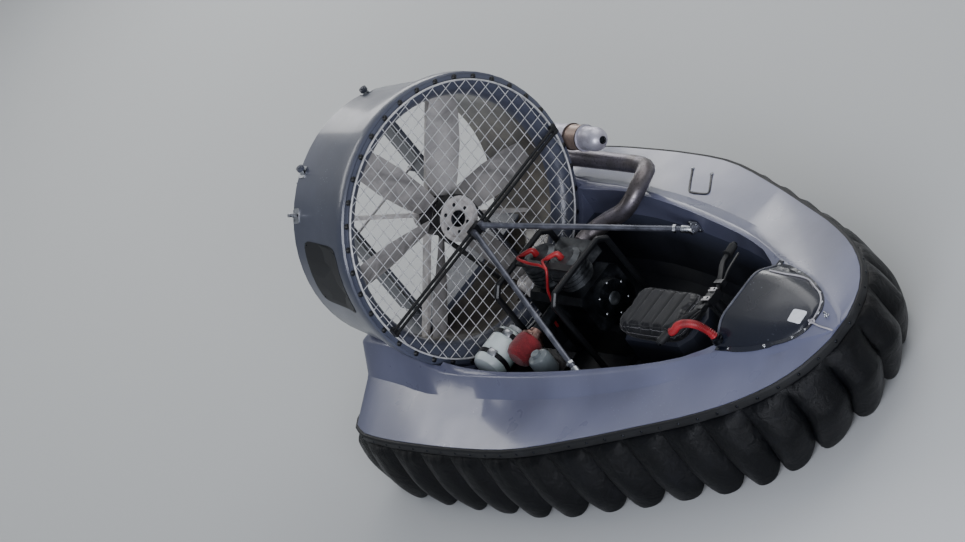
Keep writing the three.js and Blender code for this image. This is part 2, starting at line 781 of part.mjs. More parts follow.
function engineTopGeometry() {
  const { y, z1, cylR, headZ } = ENGINE;
  const cylinderX = [175, 325];
  const pieces = cylinderX.flatMap((x) => {
    const base = z1 + GAP;
    const fins = [0, 1, 2, 3].map((k) => {
      const z = base + 16 + 18 * k;
      return rod([x, y, z], [x, y, z + 8], cylR + 7, cylR + 7, 18);
    });
    return [
      rod([x, y, base], [x, y, headZ - 12], cylR, cylR, 18),
      ...fins,
      rod([x, y, headZ - 13], [x, y, headZ], cylR + 4, cylR - 14, 18),
      rod([x, y, headZ - 1], [x, y, headZ + 14], 11, 11, 8),
    ];
  });
  const link = box(...cylinderX, y - 34, y + 34, z1 + GAP, headZ - 20);
  const manifold = box(152, 348, y + 44, PIPE.startY, z1 + 6, z1 + 62);
  return join(link, manifold, ...pieces);
}

// The bed under the crankcase, with the two hoops and the spine bar above the cylinders.
function engineFrameGeometry() {
  const { hoops, legs, top, r } = ENGINE_FRAME;
  const y = ENGINE.y;
  const shoulder = top - 30;
  const inwards = [34, -34];
  const [low, high] = [FLOOR_Z + GAP, FLOOR_Z + 26];
  const rails = [-1, 1].map((side) => {
    const c = y + side * 70;
    return box(110, 486, c - 16, c + 16, low, ENGINE.z0 - GAP);
  });
  const ties = hoops.map((x) => box(x - 14, x + 14, legs[0] - 14, legs[1] + 14, low, high));
  const frames = hoops.flatMap((x) => [
    ...legs.map((leg) => rod([x, leg, low], [x, leg, shoulder], r, r, 10)),
    ...legs.map((leg, i) => rod([x, leg, shoulder], [x, leg + inwards[i], top], r, r, 10)),
    rod([x, legs[0] + inwards[0], top], [x, legs[1] + inwards[1], top], r, r, 10),
    ...legs.map((leg) => new THREE.SphereGeometry(r, 8, 6).translate(x, leg, shoulder)),
    ...legs.map((leg, i) => new THREE.SphereGeometry(r, 8, 6).translate(x, leg + inwards[i], top)),
  ]);
  const spine = box(hoops[0], hoops[1], -14, 14, top - 7, top + 7);
  return join(...rails, ...ties, ...frames, spine);
}

function trayGeometry() {
  const { z, thick, x0, x1, y0, y1 } = TRAY;
  const plate = box(x0, x1, y1, y0, z - thick, z);
  const legW = 12;
  const legs = [x0 + 14, x1 - 26].flatMap((x) => {
    return [y1 + 24, y0 - 36].map((y) => box(x, x + legW, y, y + legW, FLOOR_Z + GAP, z - 1));
  });
  return join(plate, ...legs);
}

// A bottle with domed ends along an axis.
function bottleGeometry(length, r, dome, neck) {
  const profile = [
    [0, 0],
    [0, r * 0.6],
    [dome * 0.35, r * 0.88],
    [dome, r],
    [length - dome, r],
    [length - dome * 0.35, r * 0.88],
    [length, r * 0.6],
    ...(neck ? [[length, r * 0.4], [length + neck, r * 0.4], [length + neck, 0]] : [[length, 0]]),
  ];
  return turned(profile, 20, 0, 0);
}

function fuelTankGeometry() {
  const { x, y0, y1, r } = TANK;
  const neck = 20;
  const bottle = bottleGeometry(y0 - y1 - neck, r, 26, neck);
  return bottle.rotateZ(Math.PI / 2).translate(x, y1, TRAY.z + GAP + r);
}

function oilBottleGeometry() {
  const { x, y, r, h } = OIL;
  return bottleGeometry(h, r, 16, 14).rotateY(-Math.PI / 2).translate(x, y, TRAY.z + GAP);
}

function filterGeometry() {
  const { x, y, z, r, length } = FILTER;
  return bottleGeometry(length, r, 30, 0).rotateZ(-Math.PI / 2).translate(x, y - GAP, z);
}

// Header over the port rim, run along the side deck and turned back into the silencer.
function exhaustGeometry() {
  const { r, startY, startZ, deckY, deckZ, turnX, upperZ } = PIPE;
  const rise = (upperZ - deckZ) / 2;
  const turnBack = [-90, -45, 0, 45, 90].map((degrees) => {
    const a = THREE.MathUtils.degToRad(degrees);
    const share = (1 + Math.sin(a)) / 2;
    return [turnX - rise * Math.cos(a), deckY + (SILENCER.y - deckY) * share, deckZ + 2 * rise * share];
  });
  const route = [
    [250, startY + 2 * GAP, startZ],
    [250, startY + 46, startZ],
    [306, 306, 434],
    [384, 352, 452],
    [424, 396, 482],
    [430, 440, 498],
    [414, 490, 498],
    [366, 538, 478],
    [280, 568, 455],
    [150, deckY, deckZ],
    [-60, deckY, deckZ],
    ...turnBack,
    [SILENCER.rear - 2 * GAP, SILENCER.y, upperZ],
  ];
  return tube(route, r, 44, 12);
}

function silencerGeometry() {
  const { y, rear, front, r, holeR, noseL } = SILENCER;
  const bodyR = r - 4;
  const nose = Array.from({ length: 6 }, (_, i) => {
    const a = (Math.PI / 2) * (i / 6);
    return [front - noseL + noseL * Math.sin(a), bodyR * Math.cos(a)];
  });
  const profile = [
    [rear, 0],
    [rear, PIPE.r + 2],
    [rear + 24, bodyR],
    [BAND.rear - 2, bodyR],
    [BAND.rear, BAND.ringR],
    [BAND.rear + BAND.ringW, BAND.ringR],
    [BAND.rear + BAND.ringW + 2, BAND.r],
    [BAND.front - BAND.ringW - 2, BAND.r],
    [BAND.front - BAND.ringW, BAND.ringR],
    [BAND.front, BAND.ringR],
    [BAND.front + 2, bodyR],
    ...nose,
    [front, holeR],
    [front - 30, holeR],
    [front - 30, 0],
  ];
  return turned(profile, 24, y, PIPE.upperZ);
}

// Cockpit.

function seatBaseGeometry() {
  const { x0, x1, half, top } = SEAT;
  const ring = (z, inset) =>
    [
      [x0 + inset, -half + inset],
      [x1 - 40 - inset, -half + inset],
      [x1 - inset, -half + 50 + inset],
      [x1 - inset, half - 50 - inset],
      [x1 - 40 - inset, half - inset],
      [x0 + inset, half - inset],
    ].map(([x, y]) => new THREE.Vector3(x, y, z));
  return loft([ring(FLOOR_Z + GAP, 0), ring(top - 20, 10), ring(top, 26)]);
}

function cushionGeometry() {
  const { x0, x1, half, top, cushionH } = SEAT;
  const sides = 24;
  const rounded = (v) => Math.sign(v) * Math.abs(v) ** 0.45;
  const ring = (z, inset) =>
    Array.from({ length: sides }, (_, i) => {
      const a = (2 * Math.PI * i) / sides;
      const y = rounded(Math.sin(a)) * (half + 8 - inset);
      const along = rounded(Math.cos(a)) * ((x1 - x0) / 2 + 6 - inset);
      return new THREE.Vector3((x0 + x1) / 2 + along, y, z);
    });
  const base = top + GAP;
  const crown = base + cushionH;
  return loft([ring(base, 16), ring(base + 14, 2), ring(crown - 22, 0), ring(crown, 20)]);
}

// Height of the deck's crest, straight between the hull's stations.
function crestZ(x) {
  const next = hullX.findIndex((station) => station >= x);
  const [a, b] = [hullX[next - 1], hullX[next]];
  return THREE.MathUtils.mapLinear(x, a, b, rimZ(a), rimZ(b));
}

function cowlGeometry() {
  const [base, top, topZ] = ["base", "top", "topZ"].map((name) => column(COWL, name));
  const rear = COWL.x[0];
  const section = (x, at, inset, low) => {
    const high = topZ(at) - inset;
    const foot = new THREE.Vector2(base(at) - inset * 2, low + (high - low) * 0.12);
    const corner = new THREE.Vector2(top(at) - inset, high);
    const shoulder = new THREE.QuadraticBezierCurve(
      foot.clone().lerp(corner, 0.6),
      corner,
      new THREE.Vector2(corner.x * 0.72, high),
    );
    const outline = [new THREE.Vector2(foot.x + 2, low), foot, ...shoulder.getPoints(4)];
    return across(x, outline.map((p) => [p.x, p.y]));
  };
  const body = hullX.filter((x) => x > rear + 8 && x < COWL_NOSE_X);
  const nose = COWL.x.filter((x) => x > COWL_NOSE_X);
  const shell = [rear, ...body, ...nose].map((x) => section(x, x, 0, crestZ(x) + GAP));
  const hollow = [rear, ...COWL_HOLLOW_X].map((x, i) => {
    return section(i ? x : x - 5, x, COWL_WALL, crestZ(x) - 30);
  });
  return cut(loft(shell), loft(hollow));
}

function steeringPostGeometry() {
  const seat = column(COCKPIT, "floorZ")(POST.x + 42) + GAP;
  const foot = box(POST.x - 40, POST.x + 30, -34, 34, seat, seat + 10);
  return join(rod([POST.x, 0, POST.z], [POST.topX, 0, POST.topZ], POST.r), foot);
}

// The handlebar's own shapes are drawn about its pivot, with its stem along +Z.
function handlebarGeometry() {
  const path = [
    [-78, -BARS.half, 52],
    [-72, -209, 52],
    [-66, -180, 52],
    [-60, -150, 52],
    [-22, -88, 44],
    [0, -34, 30],
    [0, 34, 30],
    [-22, 88, 44],
    [-60, 150, 52],
    [-66, 180, 52],
    [-72, 209, 52],
    [-78, BARS.half, 52],
  ];
  const bar = tube(path, BARS.r, 24, 10);
  const stem = rod([0, 0, GAP], [0, 0, 30], POST.r - 1);
  const clamp = box(-24, 24, -32, 32, 14, 46);
  const levers = [-1, 1].map((side) => {
    const route = [
      [20, side * 60, 40],
      [6, side * 110, 48],
      [-16, side * 170, 44],
      [-30, side * 205, 40],
    ];
    return tube(route, 5, 7, 6);
  });
  const mounts = [-1, 1].map((side) => box(-26, 26, side * 62 - 9, side * 62 + 9, 30, 50));
  return join(bar, stem, clamp, ...levers, ...mounts);
}

function gripGeometry(side) {
  const along = (y) => [-60 - 0.2045 * (y - 150), side * y, 52];
  const bore = rod(along(170), along(256), BARS.r + 0.6, BARS.r + 0.6, 16);
  return cut(rod(along(186), along(235), BARS.gripR, BARS.gripR, 16), bore);
}

// Scene graph.

const craft = new THREE.Group();
craft.name = "hovercraft";

function put(name, geometry, kind, parent = craft) {
  const mesh = new THREE.Mesh(geometry, paint(kind));
  mesh.name = name;
  parent.add(mesh);
  return mesh;
}

put("hull_tub", tubGeometry(), "tub");
put("deck", deckGeometry(), "hull");
put("edge_strip", edgeStripGeometry(), "black");
Object.entries(skirtGeometries()).forEach(([name, geometry]) => put("skirt_" + name, geometry, "skirt"));
[["port", 1], ["stbd", -1]].forEach(([name, side]) => {
  const y = side * 330;
  put("skid_" + name, box(-380, 1080, y - 30, y + 30, 0, SKID_H - GAP), "black");
  put("stay_" + name, stayGeometry(side), "steel");
  put("stay_foot_" + name, stayFootGeometry(side), "steel");
  put("rudder_" + name, rudderGeometry(side), "hull");
});
put("duct", ductGeometry(), "hull");
put("guard_ring", guardRingGeometry(), "black");
put("guard_mesh", guardMeshGeometry(), "wire");
put("guard_bar", guardBarGeometry(), "black");
put("fan", fanGeometry(), "blade");
put("fan_pulley", fanPulleyGeometry(), "alloy");
put("crank_pulley", crankPulleyGeometry(), "alloy");
put("drive_belt", beltGeometry(), "black");
put("fan_spider", spiderGeometry(), "alloy");
put("lift_splitter", splitterGeometry(), "hull");
put("rudder_tie_bar", tieBarGeometry(), "alloy");
put("engine_case", engineCaseGeometry(), "engine");
put("engine_cylinders", engineTopGeometry(), "engine");
put("engine_frame", engineFrameGeometry(), "black");
put("tank_tray", trayGeometry(), "black");
put("fuel_tank", fuelTankGeometry(), "tank");
put("oil_bottle", oilBottleGeometry(), "olive");
put("air_filter", filterGeometry(), "red");
put("exhaust_pipe", exhaustGeometry(), "exhaust");
put("silencer", silencerGeometry(), "exhaust");
put("seat_base", seatBaseGeometry(), "tub");
put("seat_cushion", cushionGeometry(), "seat");
put("cowl", cowlGeometry(), "cowl");
put("steering_post", steeringPostGeometry(), "black");

const steering = new THREE.Group();
const lean = Math.atan2(POST.topX - POST.x, POST.topZ - POST.z);
steering.position.set(POST.topX, 0, POST.topZ);
steering.rotation.y = lean;
craft.add(steering);
put("handlebar", handlebarGeometry(), "black", steering);
[["port", 1], ["stbd", -1]].forEach(([name, side]) => {
  put("grip_" + name, gripGeometry(side), "black", steering);
});

const model = new THREE.Group();
model.add(craft);
craft.position.x = -new THREE.Box3().setFromObject(craft, true).getCenter(new THREE.Vector3()).x;

export default model;
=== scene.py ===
# Racing hovercraft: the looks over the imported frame. Metres, +X to the bow, +Y to port, +Z up.
import math

import bmesh
import bpy
from mathutils import Matrix, Vector, noise
from mathutils.bvhtree import BVHTree
from mathutils.geometry import convex_hull_2d


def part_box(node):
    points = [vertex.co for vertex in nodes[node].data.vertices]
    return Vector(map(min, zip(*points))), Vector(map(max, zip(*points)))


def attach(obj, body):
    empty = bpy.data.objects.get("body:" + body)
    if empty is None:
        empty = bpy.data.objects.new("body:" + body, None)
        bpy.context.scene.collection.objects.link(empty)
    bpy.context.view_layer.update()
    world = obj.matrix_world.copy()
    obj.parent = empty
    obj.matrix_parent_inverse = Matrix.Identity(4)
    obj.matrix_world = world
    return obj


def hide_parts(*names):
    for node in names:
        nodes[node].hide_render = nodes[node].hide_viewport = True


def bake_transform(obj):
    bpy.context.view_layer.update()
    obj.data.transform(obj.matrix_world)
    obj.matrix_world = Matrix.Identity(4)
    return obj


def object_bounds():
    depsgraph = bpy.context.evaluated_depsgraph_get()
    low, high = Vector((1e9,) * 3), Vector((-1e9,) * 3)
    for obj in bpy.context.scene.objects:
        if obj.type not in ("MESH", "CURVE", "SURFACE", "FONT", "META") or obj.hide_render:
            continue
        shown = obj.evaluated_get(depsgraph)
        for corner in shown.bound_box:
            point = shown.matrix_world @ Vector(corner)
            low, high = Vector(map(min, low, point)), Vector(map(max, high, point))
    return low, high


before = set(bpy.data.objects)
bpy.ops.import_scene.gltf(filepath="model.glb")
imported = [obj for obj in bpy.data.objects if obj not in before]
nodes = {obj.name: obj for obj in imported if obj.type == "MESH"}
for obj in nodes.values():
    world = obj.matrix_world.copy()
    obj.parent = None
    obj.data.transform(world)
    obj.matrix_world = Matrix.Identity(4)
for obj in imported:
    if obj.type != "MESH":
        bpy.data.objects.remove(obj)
cadLow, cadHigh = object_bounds()
print("frame loaded:", len(nodes), "nodes")

mm = 0.001
mergeDistance = 0.02 * mm  # corners nearer than this become one
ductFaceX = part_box("duct")[1].x  # the craft's own sizes count X from the duct's front face
fanAxisZ = 745  # height of the fan's axis, millimetres


def craft(x, y, z):
    # A point given in the craft's own millimetres, in the frame's metres.
    return Vector((ductFaceX + x * mm, y * mm, z * mm))


# Camera

cameraSet = {
    "azimuth": 24.113,  # degrees off the bow towards starboard
    "elevation": 29.306,
    "roll": -39.703,  # the photographed craft heels into its turn
    "distance": 25.0,
    "sensor": 36.0,
    "focalShare": 6797.2 / 965,  # focal length over the picture's width
    "aim": (-0.075, 0.191),  # the duct's centre from the middle of the picture, metres
    "clipEnd": 200.0,
}


def placeCamera(chosen):
    a, e, r = (math.radians(chosen[key]) for key in ("azimuth", "elevation", "roll"))
    back = Vector((math.cos(e) * math.cos(a), -math.cos(e) * math.sin(a), math.sin(e)))
    level = Vector((0, 0, 1)).cross(back).normalized()
    plumb = back.cross(level)
    right = math.cos(r) * level + math.sin(r) * plumb
    up = -math.sin(r) * level + math.cos(r) * plumb
    aimX, aimY = chosen["aim"]
    eye = craft(0, 0, fanAxisZ) - aimX * right - aimY * up + chosen["distance"] * back
    data = bpy.data.cameras.new("camera")
    data.sensor_width = chosen["sensor"]
    data.lens = chosen["focalShare"] * chosen["sensor"]
    data.clip_end = chosen["clipEnd"]
    camera = bpy.data.objects.new("camera", data)
    turn = Matrix((right, up, back)).transposed()
    camera.matrix_world = Matrix.Translation(eye) @ turn.to_4x4()
    bpy.context.scene.collection.objects.link(camera)
    bpy.context.scene.camera = camera


placeCamera(cameraSet)


# Node trees: colours and the one function that adds a node

def linear(hexColour):
    channels = [int(hexColour[i : i + 2], 16) / 255 for i in (1, 3, 5)]
    return tuple(c / 12.92 if c <= 0.04045 else ((c + 0.055) / 1.055) ** 2.4 for c in channels) + (1,)


def feed(tree, node, inputs):
    # Each input takes a value, a socket, a node for its first live output, or a list of these.
    for key, value in inputs.items():
        for item in value if isinstance(value, list) else [value]:
            if isinstance(item, bpy.types.Node):
                item = next(socket for socket in item.outputs if socket.enabled)
            if isinstance(item, bpy.types.NodeSocket):
                tree.links.new(item, node.inputs[key])
            else:
                node.inputs[key].default_value = item


def addNode(tree, kind, inputs=None, stops=None, **settings):
    # Stops are a ramp's {position: colour}.
    node = tree.nodes.new(kind)
    for name, value in settings.items():
        setattr(node, name, value)
    feed(tree, node, inputs or {})
    if stops:
        elements = node.color_ramp.elements
        elements.remove(elements[1])
        for i, (position, colour) in enumerate(stops.items()):
            element = elements[0] if i == 0 else elements.new(position)
            element.position = position
            element.color = linear(colour)
    return node


def startFinish(name, roughness=0.5, metallic=0.0, sheen=0.0):
    finish = bpy.data.materials.new(name)
    finish.use_nodes = True
    tree = finish.node_tree
    shader = tree.nodes["Principled BSDF"]
    feed(tree, shader, {"Roughness": roughness, "Metallic": metallic, "Sheen Weight": sheen})
    place = addNode(tree, "ShaderNodeTexCoord").outputs["Object"]
    return finish, tree, shader, place


def fromFanAxis(tree, place):
    # A place split by axis, and its distance from the fan's axis.
    axis = addNode(tree, "ShaderNodeSeparateXYZ", {0: place})
    height = addNode(tree, "ShaderNodeMath", {0: axis.outputs["Z"], 1: fanAxisZ * mm}, operation="SUBTRACT")
    across = addNode(tree, "ShaderNodeCombineXYZ", {"Y": axis.outputs["Y"], "Z": height})
    return axis, addNode(tree, "ShaderNodeVectorMath", {0: across}, operation="LENGTH")


# Finishes

def gelCoat(name, tones, gloss):
    # Polished gel coat: slow drift of shade, water-spot specks that dull the gloss, faint orange peel.
    finish, tree, shader, place = startFinish(name)
    drift = addNode(
        tree, "ShaderNodeTexNoise", {"Vector": place, "Scale": 1.7, "Detail": 4, "Distortion": 0.4}
    )
    shade = addNode(tree, "ShaderNodeValToRGB", {"Fac": drift}, dict(zip((0.3, 0.52, 0.72), tones)))
    spots = addNode(tree, "ShaderNodeTexVoronoi", {"Vector": place, "Scale": 70, "Randomness": 1})
    dots = addNode(tree, "ShaderNodeMapRange", {"Value": spots, 1: 0.05, 2: 0.16, 3: 1, 4: 0})
    patches = addNode(tree, "ShaderNodeTexNoise", {"Vector": place, "Scale": 6, "Detail": 5})
    where = addNode(tree, "ShaderNodeMapRange", {"Value": patches, 1: 0.52, 2: 0.72, 3: 0, 4: 1})
    dry = addNode(tree, "ShaderNodeMath", {0: dots, 1: where}, operation="MULTIPLY")
    veil = addNode(tree, "ShaderNodeMix", {0: dry, 6: shade, 7: linear("#8f97a6")}, data_type="RGBA")
    dulled = addNode(
        tree, "ShaderNodeMapRange", {"Value": patches, 1: 0.3, 2: 0.8, 3: gloss, 4: gloss + 0.16}
    )
    peel = addNode(tree, "ShaderNodeTexNoise", {"Vector": place, "Scale": 260, "Detail": 1})
    waves = addNode(tree, "ShaderNodeTexNoise", {"Vector": place, "Scale": 9, "Detail": 2})
    height = addNode(tree, "ShaderNodeMath", {0: waves, 1: 6, 2: peel}, operation="MULTIPLY_ADD")
    bump = addNode(tree, "ShaderNodeBump", {"Strength": 0.22, "Distance": 0.6 * mm, "Height": height})
    feed(tree, shader, {"Coat Weight": 0.3, "Coat Roughness": 0.12})
    feed(tree, shader, {"Base Color": veil, "Roughness": dulled, "Normal": bump})
    return finish


def ductGelCoat(outside, inside):
    # The duct's slate gel coat, with the bare pale laminate of the barrel's inside face.
    finish = gelCoat("ductSlateGelCoat", outside, 0.3)
    tree = finish.node_tree
    shader = tree.nodes["Principled BSDF"]
    place = addNode(tree, "ShaderNodeTexCoord").outputs["Object"]
    axis, radius = fromFanAxis(tree, place)
    lip = {1: ductFaceX - 60 * mm, 2: ductFaceX - 44 * mm, 3: 462.5 * mm, 4: 300 * mm}
    limit = addNode(tree, "ShaderNodeMapRange", {"Value": axis.outputs["X"], **lip})
    inner = addNode(tree, "ShaderNodeMath", {0: radius, 1: limit}, operation="LESS_THAN")
    grime = addNode(tree, "ShaderNodeTexNoise", {"Vector": place, "Scale": 5, "Detail": 6, "Roughness": 0.65})
    laminate = addNode(tree, "ShaderNodeValToRGB", {"Fac": grime}, inside)
    slate = shader.inputs["Base Color"].links[0].from_socket
    both = addNode(tree, "ShaderNodeMix", {0: inner, 6: slate, 7: laminate}, data_type="RGBA")
    feed(tree, shader, {"Base Color": both})
    return finish


def laminateWithPaintedShade(name, tones, painted):
    # Hand-laid laminate: chopped strands telegraph through. Painted shade: the deck's slate paint fades to
    # the dark laminate lower down the walls, where the cockpit lies in shade.
    finish, tree, shader, place = startFinish(name, roughness=0.55)
    strands = addNode(
        tree, "ShaderNodeTexVoronoi", {"Vector": place, "Scale": 55}, feature="DISTANCE_TO_EDGE"
    )
    cloud = addNode(tree, "ShaderNodeTexNoise", {"Vector": place, "Scale": 3.2, "Detail": 5})
    tone = addNode(tree, "ShaderNodeValToRGB", {"Fac": cloud}, tones)
    axis = addNode(tree, "ShaderNodeSeparateXYZ", {0: place})
    # Painted shade: the wall turns from slate paint to dark laminate lower down, as the cockpit's depths fall
    # into shade.
    cover = addNode(tree, "ShaderNodeMapRange", {"Value": axis.outputs["Z"], 1: 0.24, 2: 0.42, 3: 0, 4: 1})
    both = addNode(tree, "ShaderNodeMix", {0: cover, 6: tone, 7: linear(painted)}, data_type="RGBA")
    rough = addNode(tree, "ShaderNodeMapRange", {"Value": cloud, 1: 0.3, 2: 0.7, 3: 0.42, 4: 0.7})
    bump = addNode(tree, "ShaderNodeBump", {"Strength": 0.5, "Distance": 0.9 * mm, "Height": strands})
    feed(tree, shader, {"Base Color": both, "Roughness": rough, "Normal": bump})
    return finish


def coatedFabric(name, tones, weave, shine=0.3):
    # Rubber-coated cloth: fine weave, scuffs gone grey, soft creases, dried salt and water marks.
    finish, tree, shader, place = startFinish(name)
    marks = {"Scale": 8, "Detail": 8, "Roughness": 0.68, "Distortion": 0.5}
    scuff = addNode(tree, "ShaderNodeTexNoise", {"Vector": place, **marks})
    tone = addNode(tree, "ShaderNodeValToRGB", {"Fac": scuff}, tones)
    rough = addNode(tree, "ShaderNodeMapRange", {"Value": scuff, 1: 0.35, 2: 0.7, 3: 0.28, 4: 0.5})
    thread = {"Vector": place, "Scale": weave, "Distortion": 0.6}
    warp = addNode(tree, "ShaderNodeTexWave", thread, bands_direction="Z")
    weft = addNode(tree, "ShaderNodeTexWave", thread, bands_direction="DIAGONAL")
    threads = addNode(
        tree, "ShaderNodeMath", {0: warp.outputs["Fac"], 1: weft.outputs["Fac"]}, operation="MAXIMUM"
    )
    creases = addNode(
        tree, "ShaderNodeTexNoise", {"Vector": place, "Scale": 21, "Detail": 4, "Distortion": 1.2}
    )
    height = addNode(tree, "ShaderNodeMath", {0: creases, 1: 14, 2: threads}, operation="MULTIPLY_ADD")
    bump = addNode(tree, "ShaderNodeBump", {"Strength": 0.5, "Distance": 0.8 * mm, "Height": height})
    feed(tree, shader, {"Base Color": tone, "Roughness": rough, "Normal": bump, "Specular IOR Level": shine})
    return finish


def mouldedRubber(name, tones, grain, roughness=0.62):
    # Rubber with a fine mould grain and a chalky bloom.
    finish, tree, shader, place = startFinish(name, roughness)
    bloom = addNode(tree, "ShaderNodeTexNoise", {"Vector": place, "Scale": 14, "Detail": 6})
    tone = addNode(tree, "ShaderNodeValToRGB", {"Fac": bloom}, tones)
    pores = addNode(tree, "ShaderNodeTexNoise", {"Vector": place, "Scale": grain, "Detail": 2})
    bump = addNode(tree, "ShaderNodeBump", {"Strength": 0.3, "Distance": 0.5 * mm, "Height": pores})
    feed(tree, shader, {"Base Color": tone, "Normal": bump})
    return finish


def powderCoat(name, tones, roughness):
    # Black powder coat: fine stipple and a few chips that show the grey primer.
    finish, tree, shader, place = startFinish(name, roughness)
    chips = addNode(tree, "ShaderNodeTexNoise", {"Vector": place, "Scale": 60, "Detail": 6, "Roughness": 0.7})
    tone = addNode(tree, "ShaderNodeValToRGB", {"Fac": chips}, tones)
    stipple = addNode(tree, "ShaderNodeTexNoise", {"Vector": place, "Scale": 700, "Detail": 1})
    bump = addNode(tree, "ShaderNodeBump", {"Strength": 0.25, "Distance": 0.3 * mm, "Height": stipple})
    feed(tree, shader, {"Base Color": tone, "Normal": bump})
    return finish


def bareMetal(name, tones, roughness, scale=18, metallic=1.0):
    # Bare metal: cloudy oxide, long fine scratches and uneven gloss.
    finish, tree, shader, place = startFinish(name, metallic=metallic)
    oxide = addNode(
        tree, "ShaderNodeTexNoise", {"Vector": place, "Scale": scale, "Detail": 7, "Roughness": 0.6}
    )
    tone = addNode(tree, "ShaderNodeValToRGB", {"Fac": oxide}, tones)
    limits = {1: 0.3, 2: 0.7, 3: roughness - 0.1, 4: roughness + 0.15}
    gloss = addNode(tree, "ShaderNodeMapRange", {"Value": oxide, **limits})
    long = addNode(tree, "ShaderNodeMapping", {"Vector": place, "Scale": (6, 240, 240)})
    lines = addNode(tree, "ShaderNodeTexNoise", {"Vector": long, "Scale": 4, "Detail": 3})
    bump = addNode(tree, "ShaderNodeBump", {"Strength": 0.35, "Distance": 0.3 * mm, "Height": lines})
    feed(tree, shader, {"Base Color": tone, "Roughness": gloss, "Normal": bump})
    return finish


def sandCasting(name, tones):
    # Cast engine metal: sand texture, patches of oil film.
    finish, tree, shader, place = startFinish(name, metallic=0.85)
    oil = addNode(tree, "ShaderNodeTexNoise", {"Vector": place, "Scale": 16, "Detail": 6, "Roughness": 0.62})
    tone = addNode(tree, "ShaderNodeValToRGB", {"Fac": oil}, tones)
    wet = addNode(tree, "ShaderNodeMapRange", {"Value": oil, 1: 0.35, 2: 0.7, 3: 0.32, 4: 0.62})
    sand = addNode(tree, "ShaderNodeTexNoise", {"Vector": place, "Scale": 420, "Detail": 3})
    bump = addNode(tree, "ShaderNodeBump", {"Strength": 0.5, "Distance": 0.6 * mm, "Height": sand})
    feed(tree, shader, {"Base Color": tone, "Roughness": wet, "Normal": bump})
    return finish


def heatTintedSteel(name, cool, hot):
    # Exhaust steel: brown and straw tints drift along the pipe, with soot freckles.
    finish, tree, shader, place = startFinish(name, metallic=0.9)
    drift = addNode(
        tree, "ShaderNodeTexNoise", {"Vector": place, "Scale": 5.5, "Detail": 4, "Distortion": 0.6}
    )
    tint = addNode(tree, "ShaderNodeValToRGB", {"Fac": drift}, cool)
    freckle = addNode(
        tree, "ShaderNodeTexNoise", {"Vector": place, "Scale": 90, "Detail": 5, "Roughness": 0.7}
    )
    soot = addNode(tree, "ShaderNodeMapRange", {"Value": freckle, 1: 0.56, 2: 0.7, 3: 0, 4: 0.8})
    mixed = addNode(tree, "ShaderNodeMix", {0: soot, 6: tint, 7: linear(hot)}, data_type="RGBA")
    rough = addNode(tree, "ShaderNodeMapRange", {"Value": freckle, 1: 0.3, 2: 0.7, 3: 0.3, 4: 0.58})
    bump = addNode(tree, "ShaderNodeBump", {"Strength": 0.3, "Distance": 0.4 * mm, "Height": freckle})
    feed(tree, shader, {"Base Color": mixed, "Roughness": rough, "Normal": bump})
    return finish


def bandedSteel(name, body, ring, band, start, end):
    # Brushed silencer steel with a tan wrap between two dark clamp rings, set out along X.
    finish, tree, shader, place = startFinish(name, metallic=0.55)
    axis = addNode(tree, "ShaderNodeSeparateXYZ", {0: place})
    x0, x1 = (ductFaceX + x * mm for x in (start, end))
    share = addNode(tree, "ShaderNodeMapRange", {"Value": axis.outputs["X"], 1: x0, 2: x1, 3: 0, 4: 1})
    stops = {0: body, 0.083: ring, 0.167: band, 0.833: ring, 0.917: body}
    wrap = addNode(tree, "ShaderNodeValToRGB", {"Fac": share}, stops)
    wrap.color_ramp.interpolation = "CONSTANT"
    grime = addNode(
        tree, "ShaderNodeTexNoise", {"Vector": place, "Scale": 24, "Detail": 7, "Roughness": 0.66}
    )
    veil = addNode(tree, "ShaderNodeMapRange", {"Value": grime, 1: 0.42, 2: 0.72, 3: 0, 4: 0.55})
    mixed = addNode(tree, "ShaderNodeMix", {0: veil, 6: wrap, 7: linear("#5d5353")}, data_type="RGBA")
    rough = addNode(tree, "ShaderNodeMapRange", {"Value": grime, 1: 0.3, 2: 0.7, 3: 0.3, 4: 0.58})
    long = addNode(tree, "ShaderNodeMapping", {"Vector": place, "Scale": (8, 260, 260)})
    lines = addNode(tree, "ShaderNodeTexNoise", {"Vector": long, "Scale": 4, "Detail": 3})
    bump = addNode(tree, "ShaderNodeBump", {"Strength": 0.3, "Distance": 0.3 * mm, "Height": lines})
    feed(tree, shader, {"Base Color": mixed, "Roughness": rough, "Normal": bump})
    return finish


def mouldedBlade(name, tones, hubColour, hubRadius):
    # Glass-filled nylon blades: pale, streaked along the flow, with stone nicks, on a dark cast hub.
    finish, tree, shader, place = startFinish(name)
    flow = addNode(tree, "ShaderNodeTexNoise", {"Vector": place, "Scale": 12, "Detail": 6, "Distortion": 0.8})
    tone = addNode(tree, "ShaderNodeValToRGB", {"Fac": flow}, tones)
    _, radius = fromFanAxis(tree, place)
    hub = addNode(tree, "ShaderNodeMath", {0: radius, 1: hubRadius * mm}, operation="LESS_THAN")
    both = addNode(tree, "ShaderNodeMix", {0: hub, 6: tone, 7: linear(hubColour)}, data_type="RGBA")
    nicks = addNode(tree, "ShaderNodeTexNoise", {"Vector": place, "Scale": 300, "Detail": 3})
    bump = addNode(tree, "ShaderNodeBump", {"Strength": 0.25, "Distance": 0.4 * mm, "Height": nicks})
    feed(tree, shader, {"Base Color": both, "Normal": bump})
    return finish


